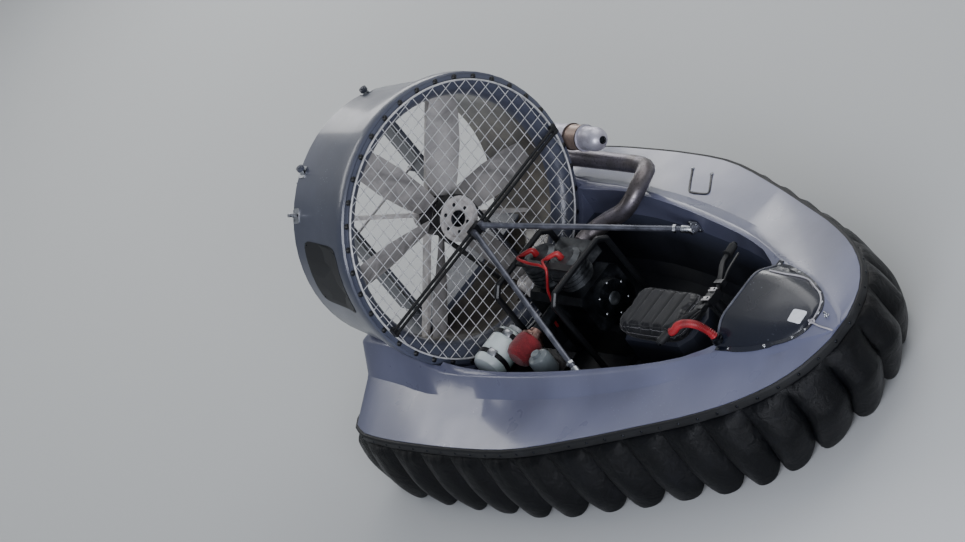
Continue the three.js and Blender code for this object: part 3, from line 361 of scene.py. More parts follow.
def blownPlastic(name, upper, lower, seeThrough, levels):
    # Blow-moulded tank plastic: milky and translucent, darker towards the bottom.
    finish, tree, shader, place = startFinish(name, roughness=0.32)
    axis = addNode(tree, "ShaderNodeSeparateXYZ", {0: place})
    ripple = addNode(tree, "ShaderNodeTexNoise", {"Vector": place, "Scale": 26, "Detail": 4})
    height = {0: ripple, 1: 0.02, 2: axis.outputs["Z"]}
    wobble = addNode(tree, "ShaderNodeMath", height, operation="MULTIPLY_ADD")
    low, high = (level * mm for level in levels)
    heightShare = addNode(tree, "ShaderNodeMapRange", {"Value": wobble, 1: low, 2: high, 3: 0, 4: 1})
    tone = addNode(tree, "ShaderNodeValToRGB", {"Fac": heightShare}, {0: lower, 1: upper})
    bump = addNode(tree, "ShaderNodeBump", {"Strength": 0.25, "Distance": 1 * mm, "Height": ripple})
    feed(tree, shader, {"Subsurface Weight": seeThrough, "Subsurface Radius": (0.02, 0.024, 0.018)})
    feed(tree, shader, {"Base Color": tone, "Normal": bump})
    return finish


def openFoam(name, tones):
    # Oiled open-cell foam: round pores, darker where the oil sits.
    finish, tree, shader, place = startFinish(name, roughness=0.85, sheen=0.25)
    cells = addNode(tree, "ShaderNodeTexVoronoi", {"Vector": place, "Scale": 260})
    oil = addNode(tree, "ShaderNodeTexNoise", {"Vector": place, "Scale": 20, "Detail": 3})
    depth = addNode(tree, "ShaderNodeMath", {0: cells, 1: 0.35, 2: oil}, operation="MULTIPLY_ADD")
    tone = addNode(tree, "ShaderNodeValToRGB", {"Fac": depth}, tones)
    bump = addNode(tree, "ShaderNodeBump", {"Strength": 0.8, "Distance": 1.5 * mm, "Height": cells})
    feed(tree, shader, {"Base Color": tone, "Normal": bump})
    return finish


def grainedVinyl(name, tones):
    # Seat vinyl: leather-like grain, rubbed paler in patches.
    finish, tree, shader, place = startFinish(name, roughness=0.48, sheen=0.1)
    grain = addNode(tree, "ShaderNodeTexVoronoi", {"Vector": place, "Scale": 330}, feature="DISTANCE_TO_EDGE")
    rub = addNode(tree, "ShaderNodeTexNoise", {"Vector": place, "Scale": 9, "Detail": 6})
    tone = addNode(tree, "ShaderNodeValToRGB", {"Fac": rub}, tones)
    bump = addNode(tree, "ShaderNodeBump", {"Strength": 0.4, "Distance": 0.6 * mm, "Height": grain})
    feed(tree, shader, {"Base Color": tone, "Normal": bump})
    return finish


slateHull = gelCoat("deckSlateGelCoat", ("#4f5165", "#5f6279", "#6c6f87"), 0.26)
slateDuct = ductGelCoat(("#3c404e", "#474b5a", "#545869"), {0.3: "#37342f", 0.5: "#57524a", 0.72: "#7b7568"})
slateRudder = gelCoat("rudderSlateGelCoat", ("#33363f", "#3d414d", "#484c5a"), 0.34)
# The tub's walls fade from slate to dark laminate lower down: painted shade.
tubLaminateWithPaintedShade = laminateWithPaintedShade(
    "tubLaminatePaintedShade", {0.3: "#0e1017", 0.55: "#151820", 0.75: "#20242d"}, "#4d5268"
)
skirtCloth = coatedFabric(
    "skirtCoatedCloth", {0.32: "#020204", 0.52: "#040508", 0.66: "#08090e", 0.8: "#14161d"}, 190, 0.22
)
blackRubber = mouldedRubber("stripBlackRubber", {0.35: "#07080b", 0.6: "#0d0e12", 0.8: "#1d1f24"}, 420)
trimRubber = mouldedRubber("trimGreyRubber", {0.35: "#3b3d46", 0.6: "#565862", 0.8: "#74767f"}, 420, 0.4)
beltRubber = mouldedRubber("beltRubber", {0.35: "#0a0a0c", 0.6: "#131416", 0.8: "#26272a"}, 600)
gripRubber = mouldedRubber("gripRubber", {0.35: "#0c0d0f", 0.6: "#17181b", 0.8: "#2c2e31"}, 500)
redRubber = mouldedRubber("conduitRedRubber", {0.3: "#6b0d14", 0.55: "#9c1b23", 0.78: "#b8393c"}, 380, 0.42)
skidPlastic = mouldedRubber(
    "skidScuffedPlastic", {0.3: "#111214", 0.55: "#1c1d20", 0.75: "#4a4b4d"}, 160, 0.5
)
blackCoat = powderCoat("frameBlackPowderCoat", {0.2: "#0a0b0d", 0.66: "#121316", 0.74: "#3c3e42"}, 0.4)
cowlBlack = gelCoat("cowlGlossBlackGelCoat", ("#10121b", "#171a25", "#20232f"), 0.2)
panelBlack = powderCoat("blankPanelBlackVinyl", {0.2: "#08090d", 0.7: "#0e0f14", 0.8: "#22242b"}, 0.55)
squareWhite = powderCoat("blankSquareWhiteVinyl", {0.2: "#c9ccd4", 0.6: "#e4e6ea", 0.8: "#f2f3f5"}, 0.4)
capWhite = mouldedRubber("capWhitePlastic", {0.3: "#b9bcbc", 0.55: "#dcdedd", 0.8: "#eef0ef"}, 240, 0.4)
staySteel = bareMetal("stayGreySteel", {0.3: "#44464f", 0.55: "#5f616b", 0.75: "#83858f"}, 0.36, metallic=0.6)
brightSteel = bareMetal("fastenerBrightSteel", {0.3: "#8b8e93", 0.55: "#b3b5b9", 0.75: "#d3d4d6"}, 0.3, 60)
darkSteel = bareMetal("fastenerBlackSteel", {0.3: "#1b1c20", 0.55: "#2a2c31", 0.75: "#4b4e54"}, 0.34, 60)
clampBronze = bareMetal("clampBronzeBand", {0.3: "#7c5f57", 0.55: "#a6857b", 0.75: "#c9aca2"}, 0.34, 60)
meshWire = bareMetal(
    "guardGalvanisedWire", {0.3: "#b0b1b4", 0.55: "#d2d2d3", 0.75: "#e4e4e3"}, 0.45, 40, metallic=0.4
)
turnedAlloy = bareMetal(
    "pulleyTurnedAlloy", {0.3: "#a9a5a3", 0.55: "#cbc7c4", 0.75: "#dedad6"}, 0.42, 30, metallic=0.25
)
castAlloy = sandCasting("cylinderCastAlloy", {0.3: "#2c2e31", 0.55: "#55585b", 0.75: "#7f8284"})
castDark = sandCasting("crankcaseDarkCasting", {0.3: "#131518", 0.55: "#24272b", 0.75: "#3f4247"})
pipeSteel = heatTintedSteel(
    "exhaustHeatTintedSteel", {0.3: "#4d4645", 0.45: "#6f6a6b", 0.6: "#87828a", 0.78: "#9d98a0"}, "#2d2725"
)
silencerSteel = bandedSteel("silencerBrushedSteel", "#c3c1cd", "#3a2c28", "#a08a7c", -60, 36)
bladeNylon = mouldedBlade("bladePaleNylon", {0.3: "#6f6c6b", 0.5: "#8d8a88", 0.72: "#a5a19e"}, "#1d1b20", 80)
tankPlastic = blownPlastic("tankMilkyPlastic", "#d9e3e1", "#6d8f86", 0.25, (262, 372))
bottlePlastic = blownPlastic("bottleGreyGreenPlastic", "#7d8588", "#41484a", 0.1, (270, 350))
redFoam = openFoam("filterOiledRedFoam", {0.3: "#3a060c", 0.6: "#6f121c", 0.85: "#8c1f28"})
seatVinyl = grainedVinyl("seatBlackVinyl", {0.35: "#0c0d10", 0.6: "#15161a", 0.8: "#24252a"})
whiteCord = coatedFabric("cordPaleBraid", {0.3: "#8f8d92", 0.55: "#c5c2c6", 0.8: "#e0dee0"}, 420)
blackWebbing = coatedFabric("strapBlackWebbing", {0.3: "#0b0c10", 0.55: "#15171c", 0.8: "#2b2e36"}, 320)
print("finishes made:", len(bpy.data.materials))

nodeFinishes = {
    "hull_tub": tubLaminateWithPaintedShade, "seat_base": tubLaminateWithPaintedShade, "deck": slateHull, "lift_splitter": slateRudder,
    "rudder_port": slateRudder, "rudder_stbd": slateRudder, "duct": slateDuct, "edge_strip": blackRubber,
    "skid_port": skidPlastic, "skid_stbd": skidPlastic, "stay_port": staySteel, "stay_stbd": staySteel,
    "stay_foot_port": brightSteel, "stay_foot_stbd": brightSteel, "guard_ring": slateDuct,
    "guard_bar": blackCoat, "engine_frame": blackCoat, "tank_tray": blackCoat, "steering_post": blackCoat,
    "handlebar": blackCoat, "fan": bladeNylon, "fan_pulley": turnedAlloy, "crank_pulley": turnedAlloy,
    "fan_spider": turnedAlloy, "rudder_tie_bar": turnedAlloy, "drive_belt": beltRubber,
    "engine_case": castDark, "engine_cylinders": castAlloy, "fuel_tank": tankPlastic,
    "oil_bottle": bottlePlastic, "air_filter": redFoam, "exhaust_pipe": pipeSteel,
    "silencer": silencerSteel, "cowl": cowlBlack, "grip_port": gripRubber, "grip_stbd": gripRubber,
    "skirt_bow": skirtCloth, "skirt_stern": skirtCloth, "skirt_port": skirtCloth, "skirt_stbd": skirtCloth,
    "seat_cushion": seatVinyl, "guard_mesh": meshWire,
}


def startTree(name, *sizes):
    # A Geometry Nodes group with a Geometry input, the given sizes and a Geometry output.
    tree = bpy.data.node_groups.new(name, "GeometryNodeTree")
    tree.interface.new_socket("Geometry", in_out="INPUT", socket_type="NodeSocketGeometry")
    for label in sizes:
        tree.interface.new_socket(label, in_out="INPUT", socket_type="NodeSocketFloat")
    tree.interface.new_socket("Geometry", in_out="OUTPUT", socket_type="NodeSocketGeometry")
    return tree, addNode(tree, "NodeGroupInput").outputs


def placeCopies(tree, points, copy, turn, finish, soft=False):
    # The end of a tree that repeats something: a copy at each point, made real and coated.
    given = {"Points": points, "Instance": copy, "Rotation": turn}
    made = addNode(tree, "GeometryNodeInstanceOnPoints", given)
    made = addNode(tree, "GeometryNodeRealizeInstances", {"Geometry": made})
    if soft:
        made = addNode(tree, "GeometryNodeSetShadeSmooth", {"Geometry": made, "Shade Smooth": True})
    made = addNode(tree, "GeometryNodeSetMaterial", {"Geometry": made, "Material": finish})
    addNode(tree, "NodeGroupOutput", {"Geometry": made})
    return tree


def smoothSkinTree():
    # Soft shading over the CAD's facets, with crisp edges kept where the faces turn sharply.
    tree, given = startTree("smoothSkin", "Crease Angle")
    plain = addNode(
        tree, "GeometryNodeRemoveAttribute", {"Geometry": given["Geometry"], "Name": "custom_normal"}
    )
    merged = addNode(tree, "GeometryNodeMergeByDistance", {"Geometry": plain, "Distance": mergeDistance})
    soft = addNode(tree, "GeometryNodeSetShadeSmooth", {"Geometry": merged, "Shade Smooth": True})
    angle = addNode(tree, "GeometryNodeInputMeshEdgeAngle")
    sharp = addNode(
        tree, "FunctionNodeCompare", {0: angle, 1: given["Crease Angle"]},
        data_type="FLOAT", operation="GREATER_THAN",
    )
    crisp = addNode(
        tree, "GeometryNodeSetShadeSmooth", {"Geometry": soft, "Selection": sharp, "Shade Smooth": False},
        domain="EDGE",
    )
    addNode(tree, "NodeGroupOutput", {"Geometry": crisp})
    return tree


smoothSkin = smoothSkinTree()
plainCrease = 34  # degrees, for the nodes that aren't named below
creaseAngles = {"engine_case": 25, "cowl": 40, "deck": 30, "guard_bar": 40}


def socketNamed(tree, label):
    # A modifier takes its inputs by identifier.
    sockets = tree.interface.items_tree
    return next(item.identifier for item in sockets if item.name == label and item.in_out == "INPUT")


def dressNodes():
    for name, finish in nodeFinishes.items():
        node = nodes[name]
        node.data.materials.clear()
        node.data.materials.append(finish)
        soft = node.modifiers.new("smoothSkin", "NODES")
        soft.node_group = smoothSkin
        soft[socketNamed(smoothSkin, "Crease Angle")] = math.radians(creaseAngles.get(name, plainCrease))


dressNodes()
print("nodes dressed:", len(nodeFinishes))


# Shapes in mesh code

def skin(shape, rings, loop=False):
    # Faces through a row of equal rings; the ends are capped unless the row closes on itself.
    rows = [[shape.verts.new(p) for p in ring] for ring in rings]
    count = len(rows[0])
    for i in range(len(rows) if loop else len(rows) - 1):
        a, b = rows[i], rows[(i + 1) % len(rows)]
        for j in range(count):
            k = (j + 1) % count
            shape.faces.new((a[j], a[k], b[k], b[j]))
    if not loop:
        shape.faces.new(rows[0][::-1])
        shape.faces.new(rows[-1])


def smoothPath(points, steps=6):
    # A Catmull-Rom curve through the points.
    last = len(points) - 1
    path = []
    for i in range(last):
        a, b, c, d = (points[min(max(i + k, 0), last)] for k in (-1, 0, 1, 2))
        for s in range(steps):
            t = s / steps
            square = (2 * a - 5 * b + 4 * c - d) * t**2
            cube = (3 * b - a - 3 * c + d) * t**3
            path.append(0.5 * (2 * b + (c - a) * t + square + cube))
    return path + [points[-1]]


def ringAngles(count):
    return [math.tau * i / count for i in range(count)]


def disc(radius, sides):
    # A round section; its radius is in millimetres.
    return [(radius * mm * math.cos(a), radius * mm * math.sin(a)) for a in ringAngles(sides)]


def plank(width, thick):
    # A flat strip's section with softened corners, from millimetres; its second coordinate points away
    # from what it lies on.
    w, t, c = width / 2 * mm, thick * mm, thick * 0.3 * mm
    return [(-w, 0), (w, 0), (w, t - c), (w - c, t), (c - w, t), (-w, t - c)]


def sweep(shape, path, section, outward=None, loop=False, scales=None):
    # A section carried along a path; outward keeps its second coordinate to a side, or one per point.
    count = len(path)
    side = None
    rings = []
    for i, point in enumerate(path):
        ahead = path[(i + 1) % count] if loop else path[min(i + 1, count - 1)]
        behind = path[i - 1] if loop or i else path[0]
        way = (ahead - behind).normalized()
        if outward is not None:
            out = outward[i] if isinstance(outward, list) else outward
            side = way.cross(out).normalized()
        else:
            side = way.orthogonal() if side is None else side - way * side.dot(way)
            side.normalize()
        up = side.cross(way)
        size = scales[i] if scales else 1
        rings.append([point + side * a * size + up * b * size for a, b in section])
    skin(shape, rings, loop)


def turned(shape, origin, axis, profile, sides=24):
    # A solid of revolution; its profile gives millimetres along the axis and out from it.
    axis = Vector(axis).normalized()
    u = axis.orthogonal().normalized()
    v = axis.cross(u)
    spokes = [u * math.cos(a) + v * math.sin(a) for a in ringAngles(sides)]
    skin(shape, [[origin + axis * (x * mm) + spoke * (r * mm) for spoke in spokes] for x, r in profile])


def block(shape, low, high, edge, place):
    # A box with chamfered edges, in millimetres, set in a frame.
    (x0, y0, z0), (x1, y1, z1) = (Vector(corner) * mm for corner in (low, high))
    c = edge * mm
    rings = []
    for z, i in ((z0, c), (z0 + c, 0), (z1 - c, 0), (z1, c)):
        corners = [
            (x0 + i + c, y0 + i), (x1 - i - c, y0 + i), (x1 - i, y0 + i + c), (x1 - i, y1 - i - c),
            (x1 - i - c, y1 - i), (x0 + i + c, y1 - i), (x0 + i, y1 - i - c), (x0 + i, y0 + i + c),
        ]
        rings.append([place @ Vector((x, y, z)) for x, y in corners])
    skin(shape, rings)


def finishPiece(name, shape, finish, body, crease=36):
    # Doubles merged, faces turned outward, soft shading with crisp creases; the piece rides on its body.
    bmesh.ops.remove_doubles(shape, verts=shape.verts, dist=mergeDistance)
    bmesh.ops.recalc_face_normals(shape, faces=shape.faces)
    for face in shape.faces:
        face.smooth = True
    for edge in shape.edges:
        edge.smooth = not (len(edge.link_faces) == 2 and edge.calc_face_angle() > math.radians(crease))
    mesh = bpy.data.meshes.new(name)
    shape.to_mesh(mesh)
    shape.free()
    mesh.materials.append(finish)
    piece = bpy.data.objects.new(name, mesh)
    bpy.context.scene.collection.objects.link(piece)
    if body:  # a piece that runs between two bodies rides on neither
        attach(piece, body)
    return piece


def grow(name, tree, sizes, source, body):
    # Runs a Geometry Nodes tree on a mesh or curve and keeps the result as a plain mesh.
    seed = bpy.data.objects.new(name + "Seed", source)
    bpy.context.scene.collection.objects.link(seed)
    run = seed.modifiers.new(tree.name, "NODES")
    run.node_group = tree
    for label, value in sizes.items():
        run[socketNamed(tree, label)] = value
    view = bpy.context.evaluated_depsgraph_get()
    mesh = bpy.data.meshes.new_from_object(seed.evaluated_get(view), depsgraph=view)
    bpy.data.objects.remove(seed)
    mesh.name = name
    piece = bpy.data.objects.new(name, mesh)
    bpy.context.scene.collection.objects.link(piece)
    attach(piece, body)
    return piece


def surfaceOf(*names):
    # A tree for finding the nearest place on some CAD nodes.
    corners, faces = [], []
    for name in names:
        start = len(corners)
        corners += [v.co.copy() for v in nodes[name].data.vertices]
        faces += [[start + i for i in p.vertices] for p in nodes[name].data.polygons]
    return BVHTree.FromPolygons(corners, faces)


deckSurface = surfaceOf("deck", "cowl")


def below(surface, place, height=0.9):
    # Where a surface lies straight below a height over a place, and its normal there.
    spot, normal, _, _ = surface.ray_cast(Vector((place.x, place.y, height)), Vector((0, 0, -1)))
    return spot, normal


def onDeck(x, y, lift=0.0):
    # The place on the deck or cowl straight below a point, and its normal.
    place, normal = below(deckSurface, craft(x, y, 0))
    return place + normal * lift * mm, normal


# Guard: welded mesh, its rim and the collar round the drive shaft

guardSet = {
    "pitch": 43.0,
    "wireDiameter": 3.2,
    "wireHalf": 520.0,
    "wireStep": 10.0,  # length of the steps in which a wire is cut back
    "reach": 516.0,
    "frontX": 14.8,  # face of the horizontal wires
    "rimWidth": 6.0,
    "rimDepth": 9.0,
    "rimOut": 3.0,  # how far the rim and the collar stand past the wires' ends
    "shaftHole": 29.0,
    "shaftPlace": (60, 305),  # Y and Z of the crankshaft
    "collarWidth": 7.0,
}


def guardTree(chosen):
    tree, given = startTree("weldedMesh", "Pitch", "Wire Diameter", "Reach", "Hole Radius")
    radius = addNode(tree, "ShaderNodeMath", {0: given["Wire Diameter"], 1: 0.5}, operation="MULTIPLY")
    wireSection = addNode(tree, "GeometryNodeCurvePrimitiveCircle", {"Resolution": 6, "Radius": radius})
    count = 2 * math.floor(chosen["reach"] / chosen["pitch"])
    start = addNode(tree, "ShaderNodeMath", {0: given["Pitch"], 1: (1 - count) / 2}, operation="MULTIPLY")
    startAt = addNode(tree, "ShaderNodeCombineXYZ", {"Y": start})
    step = addNode(tree, "ShaderNodeCombineXYZ", {"Y": given["Pitch"]})
    spacing = {"Count": count, "Start Location": startAt, "Offset": step}
    row = addNode(tree, "GeometryNodeMeshLine", spacing, mode="OFFSET")
    half, cut = chosen["wireHalf"] * mm, chosen["wireStep"] * mm
    length = {"Count": round(2 * half / cut) + 1, "Start Location": (0, 0, -half), "Offset": (0, 0, cut)}
    wire = addNode(tree, "GeometryNodeMeshLine", length, mode="OFFSET")
    placed = addNode(tree, "GeometryNodeInstanceOnPoints", {"Points": row, "Instance": wire})
    upright = addNode(tree, "GeometryNodeRealizeInstances", {"Geometry": placed})
    holeY, holeZ = chosen["shaftPlace"]
    hole = (0, holeY * mm, (holeZ - fanAxisZ) * mm)
    made = []
    for turn, back in ((0, 1.5), (90, 0.5)):  # the uprights lie behind the level wires
        laid = addNode(
            tree, "GeometryNodeTransform", {"Geometry": upright, "Rotation": (math.radians(turn), 0, 0)}
        )
        at = addNode(tree, "GeometryNodeInputPosition")
        far = addNode(tree, "ShaderNodeVectorMath", {0: at}, operation="LENGTH")
        near = addNode(tree, "ShaderNodeVectorMath", {0: at, 1: hole}, operation="DISTANCE")
        outside = addNode(
            tree, "FunctionNodeCompare", {0: far, 1: given["Reach"]},
            data_type="FLOAT", operation="GREATER_THAN",
        )
        inHole = addNode(
            tree, "FunctionNodeCompare", {0: near, 1: given["Hole Radius"]},
            data_type="FLOAT", operation="LESS_THAN",
        )
        gone = addNode(tree, "FunctionNodeBooleanMath", {0: outside, 1: inHole}, operation="OR")
        left = addNode(tree, "GeometryNodeDeleteGeometry", {"Geometry": laid, "Selection": gone})
        path = addNode(tree, "GeometryNodeMeshToCurve", {"Mesh": left})
        tube = addNode(
            tree, "GeometryNodeCurveToMesh", {"Curve": path, "Profile Curve": wireSection, "Fill Caps": True}
        )
        x = (chosen["frontX"] - back * chosen["wireDiameter"]) * mm
        made.append(addNode(tree, "GeometryNodeTransform", {"Geometry": tube, "Translation": (x, 0, 0)}))
    width, depth, proud = chosen["rimWidth"], chosen["rimDepth"], chosen["rimOut"]
    rims = (
        (chosen["reach"] - width / 2 + proud, width, 0, 0, 120),
        (chosen["shaftHole"] + proud, chosen["collarWidth"], holeY, holeZ - fanAxisZ, 40),
    )
    for rimRadius, rimWidth, y, z, sides in rims:
        line = addNode(
            tree, "GeometryNodeCurvePrimitiveCircle", {"Resolution": sides, "Radius": rimRadius * mm}
        )
        size = {"Width": rimWidth * mm, "Height": depth * mm}
        flat = addNode(tree, "GeometryNodeCurvePrimitiveQuadrilateral", size)
        rim = addNode(tree, "GeometryNodeCurveToMesh", {"Curve": line, "Profile Curve": flat})
        place = Vector((chosen["frontX"] - depth / 2, y, z)) * mm
        upended = {"Geometry": rim, "Translation": place, "Rotation": (0, math.pi / 2, 0)}
        made.append(addNode(tree, "GeometryNodeTransform", upended))
    joined = addNode(tree, "GeometryNodeJoinGeometry", {"Geometry": made})
    moved = addNode(tree, "GeometryNodeTransform", {"Geometry": joined, "Translation": craft(0, 0, fanAxisZ)})
    real = addNode(tree, "GeometryNodeRealizeInstances", {"Geometry": moved})
    coated = addNode(tree, "GeometryNodeSetMaterial", {"Geometry": real, "Material": meshWire})
    addNode(tree, "NodeGroupOutput", {"Geometry": coated})
    return tree


def makeGuard(chosen):
    sizes = {
        "Pitch": chosen["pitch"] * mm,
        "Wire Diameter": chosen["wireDiameter"] * mm,
        "Reach": chosen["reach"] * mm,
        "Hole Radius": chosen["shaftHole"] * mm,
    }
    guard = grow("guardWeldedMesh", guardTree(chosen), sizes, bpy.data.meshes.new("empty"), "craft")
    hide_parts("guard_mesh")


makeGuard(guardSet)
print("guard made")


# Fasteners: one tree for heads at loose points, one for heads along a curve

headSet = {"washerShare": 1.45, "domeShare": 0.72}  # washer's width and dome's height, over the head's radius


def headParts(tree, given, sides):
    # A washer with a domed head, along +Z.
    washerShare, domeShare = headSet["washerShare"], headSet["domeShare"]
    wide = addNode(tree, "ShaderNodeMath", {0: given["Head Radius"], 1: washerShare}, operation="MULTIPLY")
    size = {"Vertices": sides, "Radius": wide, "Depth": given["Washer Thickness"]}
    washer = addNode(tree, "GeometryNodeMeshCylinder", size)
    size = {"Segments": sides, "Rings": 8, "Radius": given["Head Radius"]}
    ball = addNode(tree, "GeometryNodeMeshUVSphere", size)
    dome = addNode(tree, "GeometryNodeTransform", {"Geometry": ball, "Scale": (1, 1, domeShare)})
    return addNode(tree, "GeometryNodeJoinGeometry", {"Geometry": [washer, dome]})


def headsAtPointsTree(name, finish):
    tree, given = startTree(name, "Head Radius", "Washer Thickness")
    head = headParts(tree, given, 12)
    aim = addNode(tree, "GeometryNodeInputNamedAttribute", {"Name": "aim"}, data_type="FLOAT_VECTOR")
    turn = addNode(tree, "FunctionNodeAlignRotationToVector", {"Vector": aim}, axis="Z")
    return placeCopies(tree, given["Geometry"], head, turn, finish, soft=True)


def pointCloud(places):
    # Loose vertices that carry the direction each fastener faces.
    mesh = bpy.data.meshes.new("places")
    mesh.from_pydata([tuple(place) for place, _ in places], [], [])
    aims = mesh.attributes.new("aim", "FLOAT_VECTOR", "POINT")
    for i, (_, aim) in enumerate(places):
        aims.data[i].vector = aim
    return mesh


def fasten(name, places, headRadius, washer, tree, body):
    sizes = {"Head Radius": headRadius * mm, "Washer Thickness": washer * mm}
    heads = grow(name, tree, sizes, pointCloud(places), body)


def facingAhead(centre, x, radius, count, turn=0.0):
    # Places for a ring of fasteners about an axis along X, all facing ahead.
    places = []
    for i in range(count):
        a = turn + math.tau * i / count
        spot = Vector((x, math.cos(a) * radius, math.sin(a) * radius)) * mm
        places.append((centre + spot, Vector((1, 0, 0))))
    return places


blackHeads = headsAtPointsTree("blackBoltHeads", blackCoat)
brightHeads = headsAtPointsTree("brightBoltHeads", brightSteel)
darkHeads = headsAtPointsTree("darkBoltHeads", darkSteel)

lipBoltSet = {"count": 38, "radius": 527, "x": 5.2, "headRadius": 7.6, "washer": 2.4, "turn": 3.0}


def makeLipBolts(chosen):
    turn = math.radians(chosen["turn"])
    places = facingAhead(craft(0, 0, fanAxisZ), chosen["x"], chosen["radius"], chosen["count"], turn)
    fasten("ductLipBolts", places, chosen["headRadius"], chosen["washer"], blackHeads, "craft")


makeLipBolts(lipBoltSet)


# Hull edge: the strip's outline, its rivets and the skirt that hangs below it

skirtLineSet = {"z": 320.0, "rise": 0.035, "stripProud": 14.0}


def footprint(name, startKey):
    # A node's outline seen from above, anticlockwise from the corner where startKey is least.
    corners = [v.co for v in nodes[name].data.vertices]
    loop = [Vector((corners[i].x, corners[i].y, 0)) for i in convex_hull_2d([(p.x, p.y) for p in corners])]
    if sum(p.x * q.y - q.x * p.y for p, q in zip(loop, loop[1:] + loop[:1])) < 0:
        loop.reverse()
    start = min(range(len(loop)), key=lambda i: startKey(loop[i]))
    return loop[start:] + loop[:start]


def hullOutline(samples):
    # Even points round the hull's edge with their outward normals, from the starboard quarter forward.
    quarter = Vector((cadLow.x, cadLow.y * 0.8, 0))
    loop = footprint("edge_strip", lambda p: (p - quarter).length)
    lengths = [(q - p).length for p, q in zip(loop, loop[1:] + loop[:1])]
    total = sum(lengths)
    points, i, passed = [], 0, 0.0
    for k in range(samples):
        target = total * k / samples
        while passed + lengths[i] < target:
            passed += lengths[i]
            i += 1
        points.append(loop[i].lerp(loop[(i + 1) % len(loop)], (target - passed) / lengths[i]))
    result = []
    for k, p in enumerate(points):
        way = points[(k + 2) % samples] - points[k - 2]
        result.append((p, Vector((way.y, -way.x, 0)).normalized()))
    return result


def skirtLineZ(point):
    return skirtLineSet["z"] * mm + skirtLineSet["rise"] * (point.x - ductFaceX)


edgeRivetSet = {"spacing": 88.0, "headRadius": 4.2, "washer": 1.2, "below": 6.0, "proud": 0.2}


def edgeRivetTree():
    tree, given = startTree("edgeRivets", "Spacing", "Head Radius", "Washer Thickness")
    head = headParts(tree, given, 10)
    level = addNode(tree, "GeometryNodeSetCurveNormal", {"Curve": given["Geometry"]}, mode="Z_UP")
    spots = addNode(
        tree, "GeometryNodeCurveToPoints", {"Curve": level, "Length": given["Spacing"]}, mode="LENGTH"
    )
    turn = addNode(tree, "FunctionNodeAlignRotationToVector", {"Vector": spots.outputs["Normal"]}, axis="Z")
    return placeCopies(tree, spots, head, turn, darkSteel, soft=True)


def curveThrough(points, closed):
    curve = bpy.data.curves.new("path", "CURVE")
    curve.dimensions = "3D"
    line = curve.splines.new("POLY")
    line.points.add(len(points) - 1)
    for spot, place in zip(line.points, points):
        spot.co = (*place, 1)
    line.use_cyclic_u = closed
    return curve


def makeEdgeRivets(chosen):
    path = []
    for p, normal in hullOutline(240):
        path.append(
            Vector((p.x, p.y, skirtLineZ(p) - chosen["below"] * mm)) + normal * (chosen["proud"] * mm)
        )
    sizes = {
        "Spacing": chosen["spacing"] * mm,
        "Head Radius": chosen["headRadius"] * mm,
        "Washer Thickness": chosen["washer"] * mm,
    }
    rivets = grow("edgeStripRivets", edgeRivetTree(), sizes, curveThrough(path, True), "craft")


makeEdgeRivets(edgeRivetSet)
print("fasteners made")

skirtSet = {
    "segments": 36,
    "across": 14,  # mesh steps over one segment
    "down": 16,
    "clothThickness": 2.5,
    "topDrop": 24.3,
    "bowTuck": 112.0,  # how far the bags lean back under the bow
    "tuckFrom": 1450.0,
    "bowX": 1870.0,
    "hemRise": 68.0,  # how far the hem climbs into each cleft
    "ripple": 7.0,
    "gather": 1.6,
    "seed": 7,
}


def skirtSection(full, top):
    # Distance out from the hull's edge and height, from the strip down to the hem, millimetres.
    return [
        Vector((12, top)), Vector((12 + 24 * full, top * 0.93)), Vector((6 + 42 * full, top * 0.78)),
        Vector((2 + 53 * full, top * 0.54)), Vector((-2 + 52 * full, top * 0.32)),
        Vector((-6 + 42 * full, top * 0.13)), Vector((-8 + 30 * full, 1)),
    ]


def makeSkirt(chosen):
    # One bag per segment: full in the middle, drawn in at the seams, with gathers under the strip.
    across, down = chosen["across"], chosen["down"]
    columns = []
    for i, (place, normal) in enumerate(hullOutline(chosen["segments"] * across)):
        u = (i % across) / across
        full = math.sin(math.pi * u**0.86) ** 0.72
        segment = i // across
        top = skirtLineZ(place) / mm - chosen["topDrop"]
        x = (place.x - ductFaceX) / mm
        reach = min(max((x - chosen["tuckFrom"]) / (chosen["bowX"] - chosen["tuckFrom"]), 0), 1)
        tuck = chosen["bowTuck"] * reach * reach * (3 - 2 * reach)
        profile = smoothPath([p.to_3d() for p in skirtSection(full, top)])
        outer, inner = [], []
        for j in range(down + 1):
            share = j / down
            spot = profile[round(share * (len(profile) - 1))]
            hem = chosen["hemRise"] * (1 - full) ** 1.5 * max(0, (share - 0.6) / 0.4) ** 2
            z = spot.y + hem
            drift = noise.noise(Vector((segment * 3.1 + u * 2.2, share * 2.6, chosen["seed"])))
            pleat = math.sin(math.tau * 4 * u + segment) * (1 - share) ** 2 * full
            out = spot.x + (drift * chosen["ripple"] * share + chosen["gather"] * pleat)
            back = tuck * max(0, 1 - z / (top * 0.52))
            spread = normal * (out - skirtLineSet["stripProud"]) * mm
            outer.append(Vector((place.x - back * mm, place.y, max(z, 1) * mm)) + spread)
            inner.append(outer[-1] - normal * chosen["clothThickness"] * mm)
        columns.append(outer + inner[::-1])
    shape = bmesh.new()
    skin(shape, columns, loop=True)
    skirt = finishPiece("skirtSegments", shape, skirtCloth, "craft", crease=62)
    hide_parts("skirt_bow", "skirt_stern", "skirt_port", "skirt_stbd")


makeSkirt(skirtSet)
print("skirt made")

# Shapes shared by the pieces that follow

def standing(origin, axis, ahead=(1, 0, 0)):
    # A frame at a point with its Z along the axis and its X as near ahead as can be.
    z = Vector(axis).normalized()
    x = Vector(ahead) - z * Vector(ahead).dot(z)
    x = x.normalized() if x.length > 0.001 else z.orthogonal().normalized()
    return Matrix.Translation(origin) @ Matrix((x, z.cross(x), z)).transposed().to_4x4()


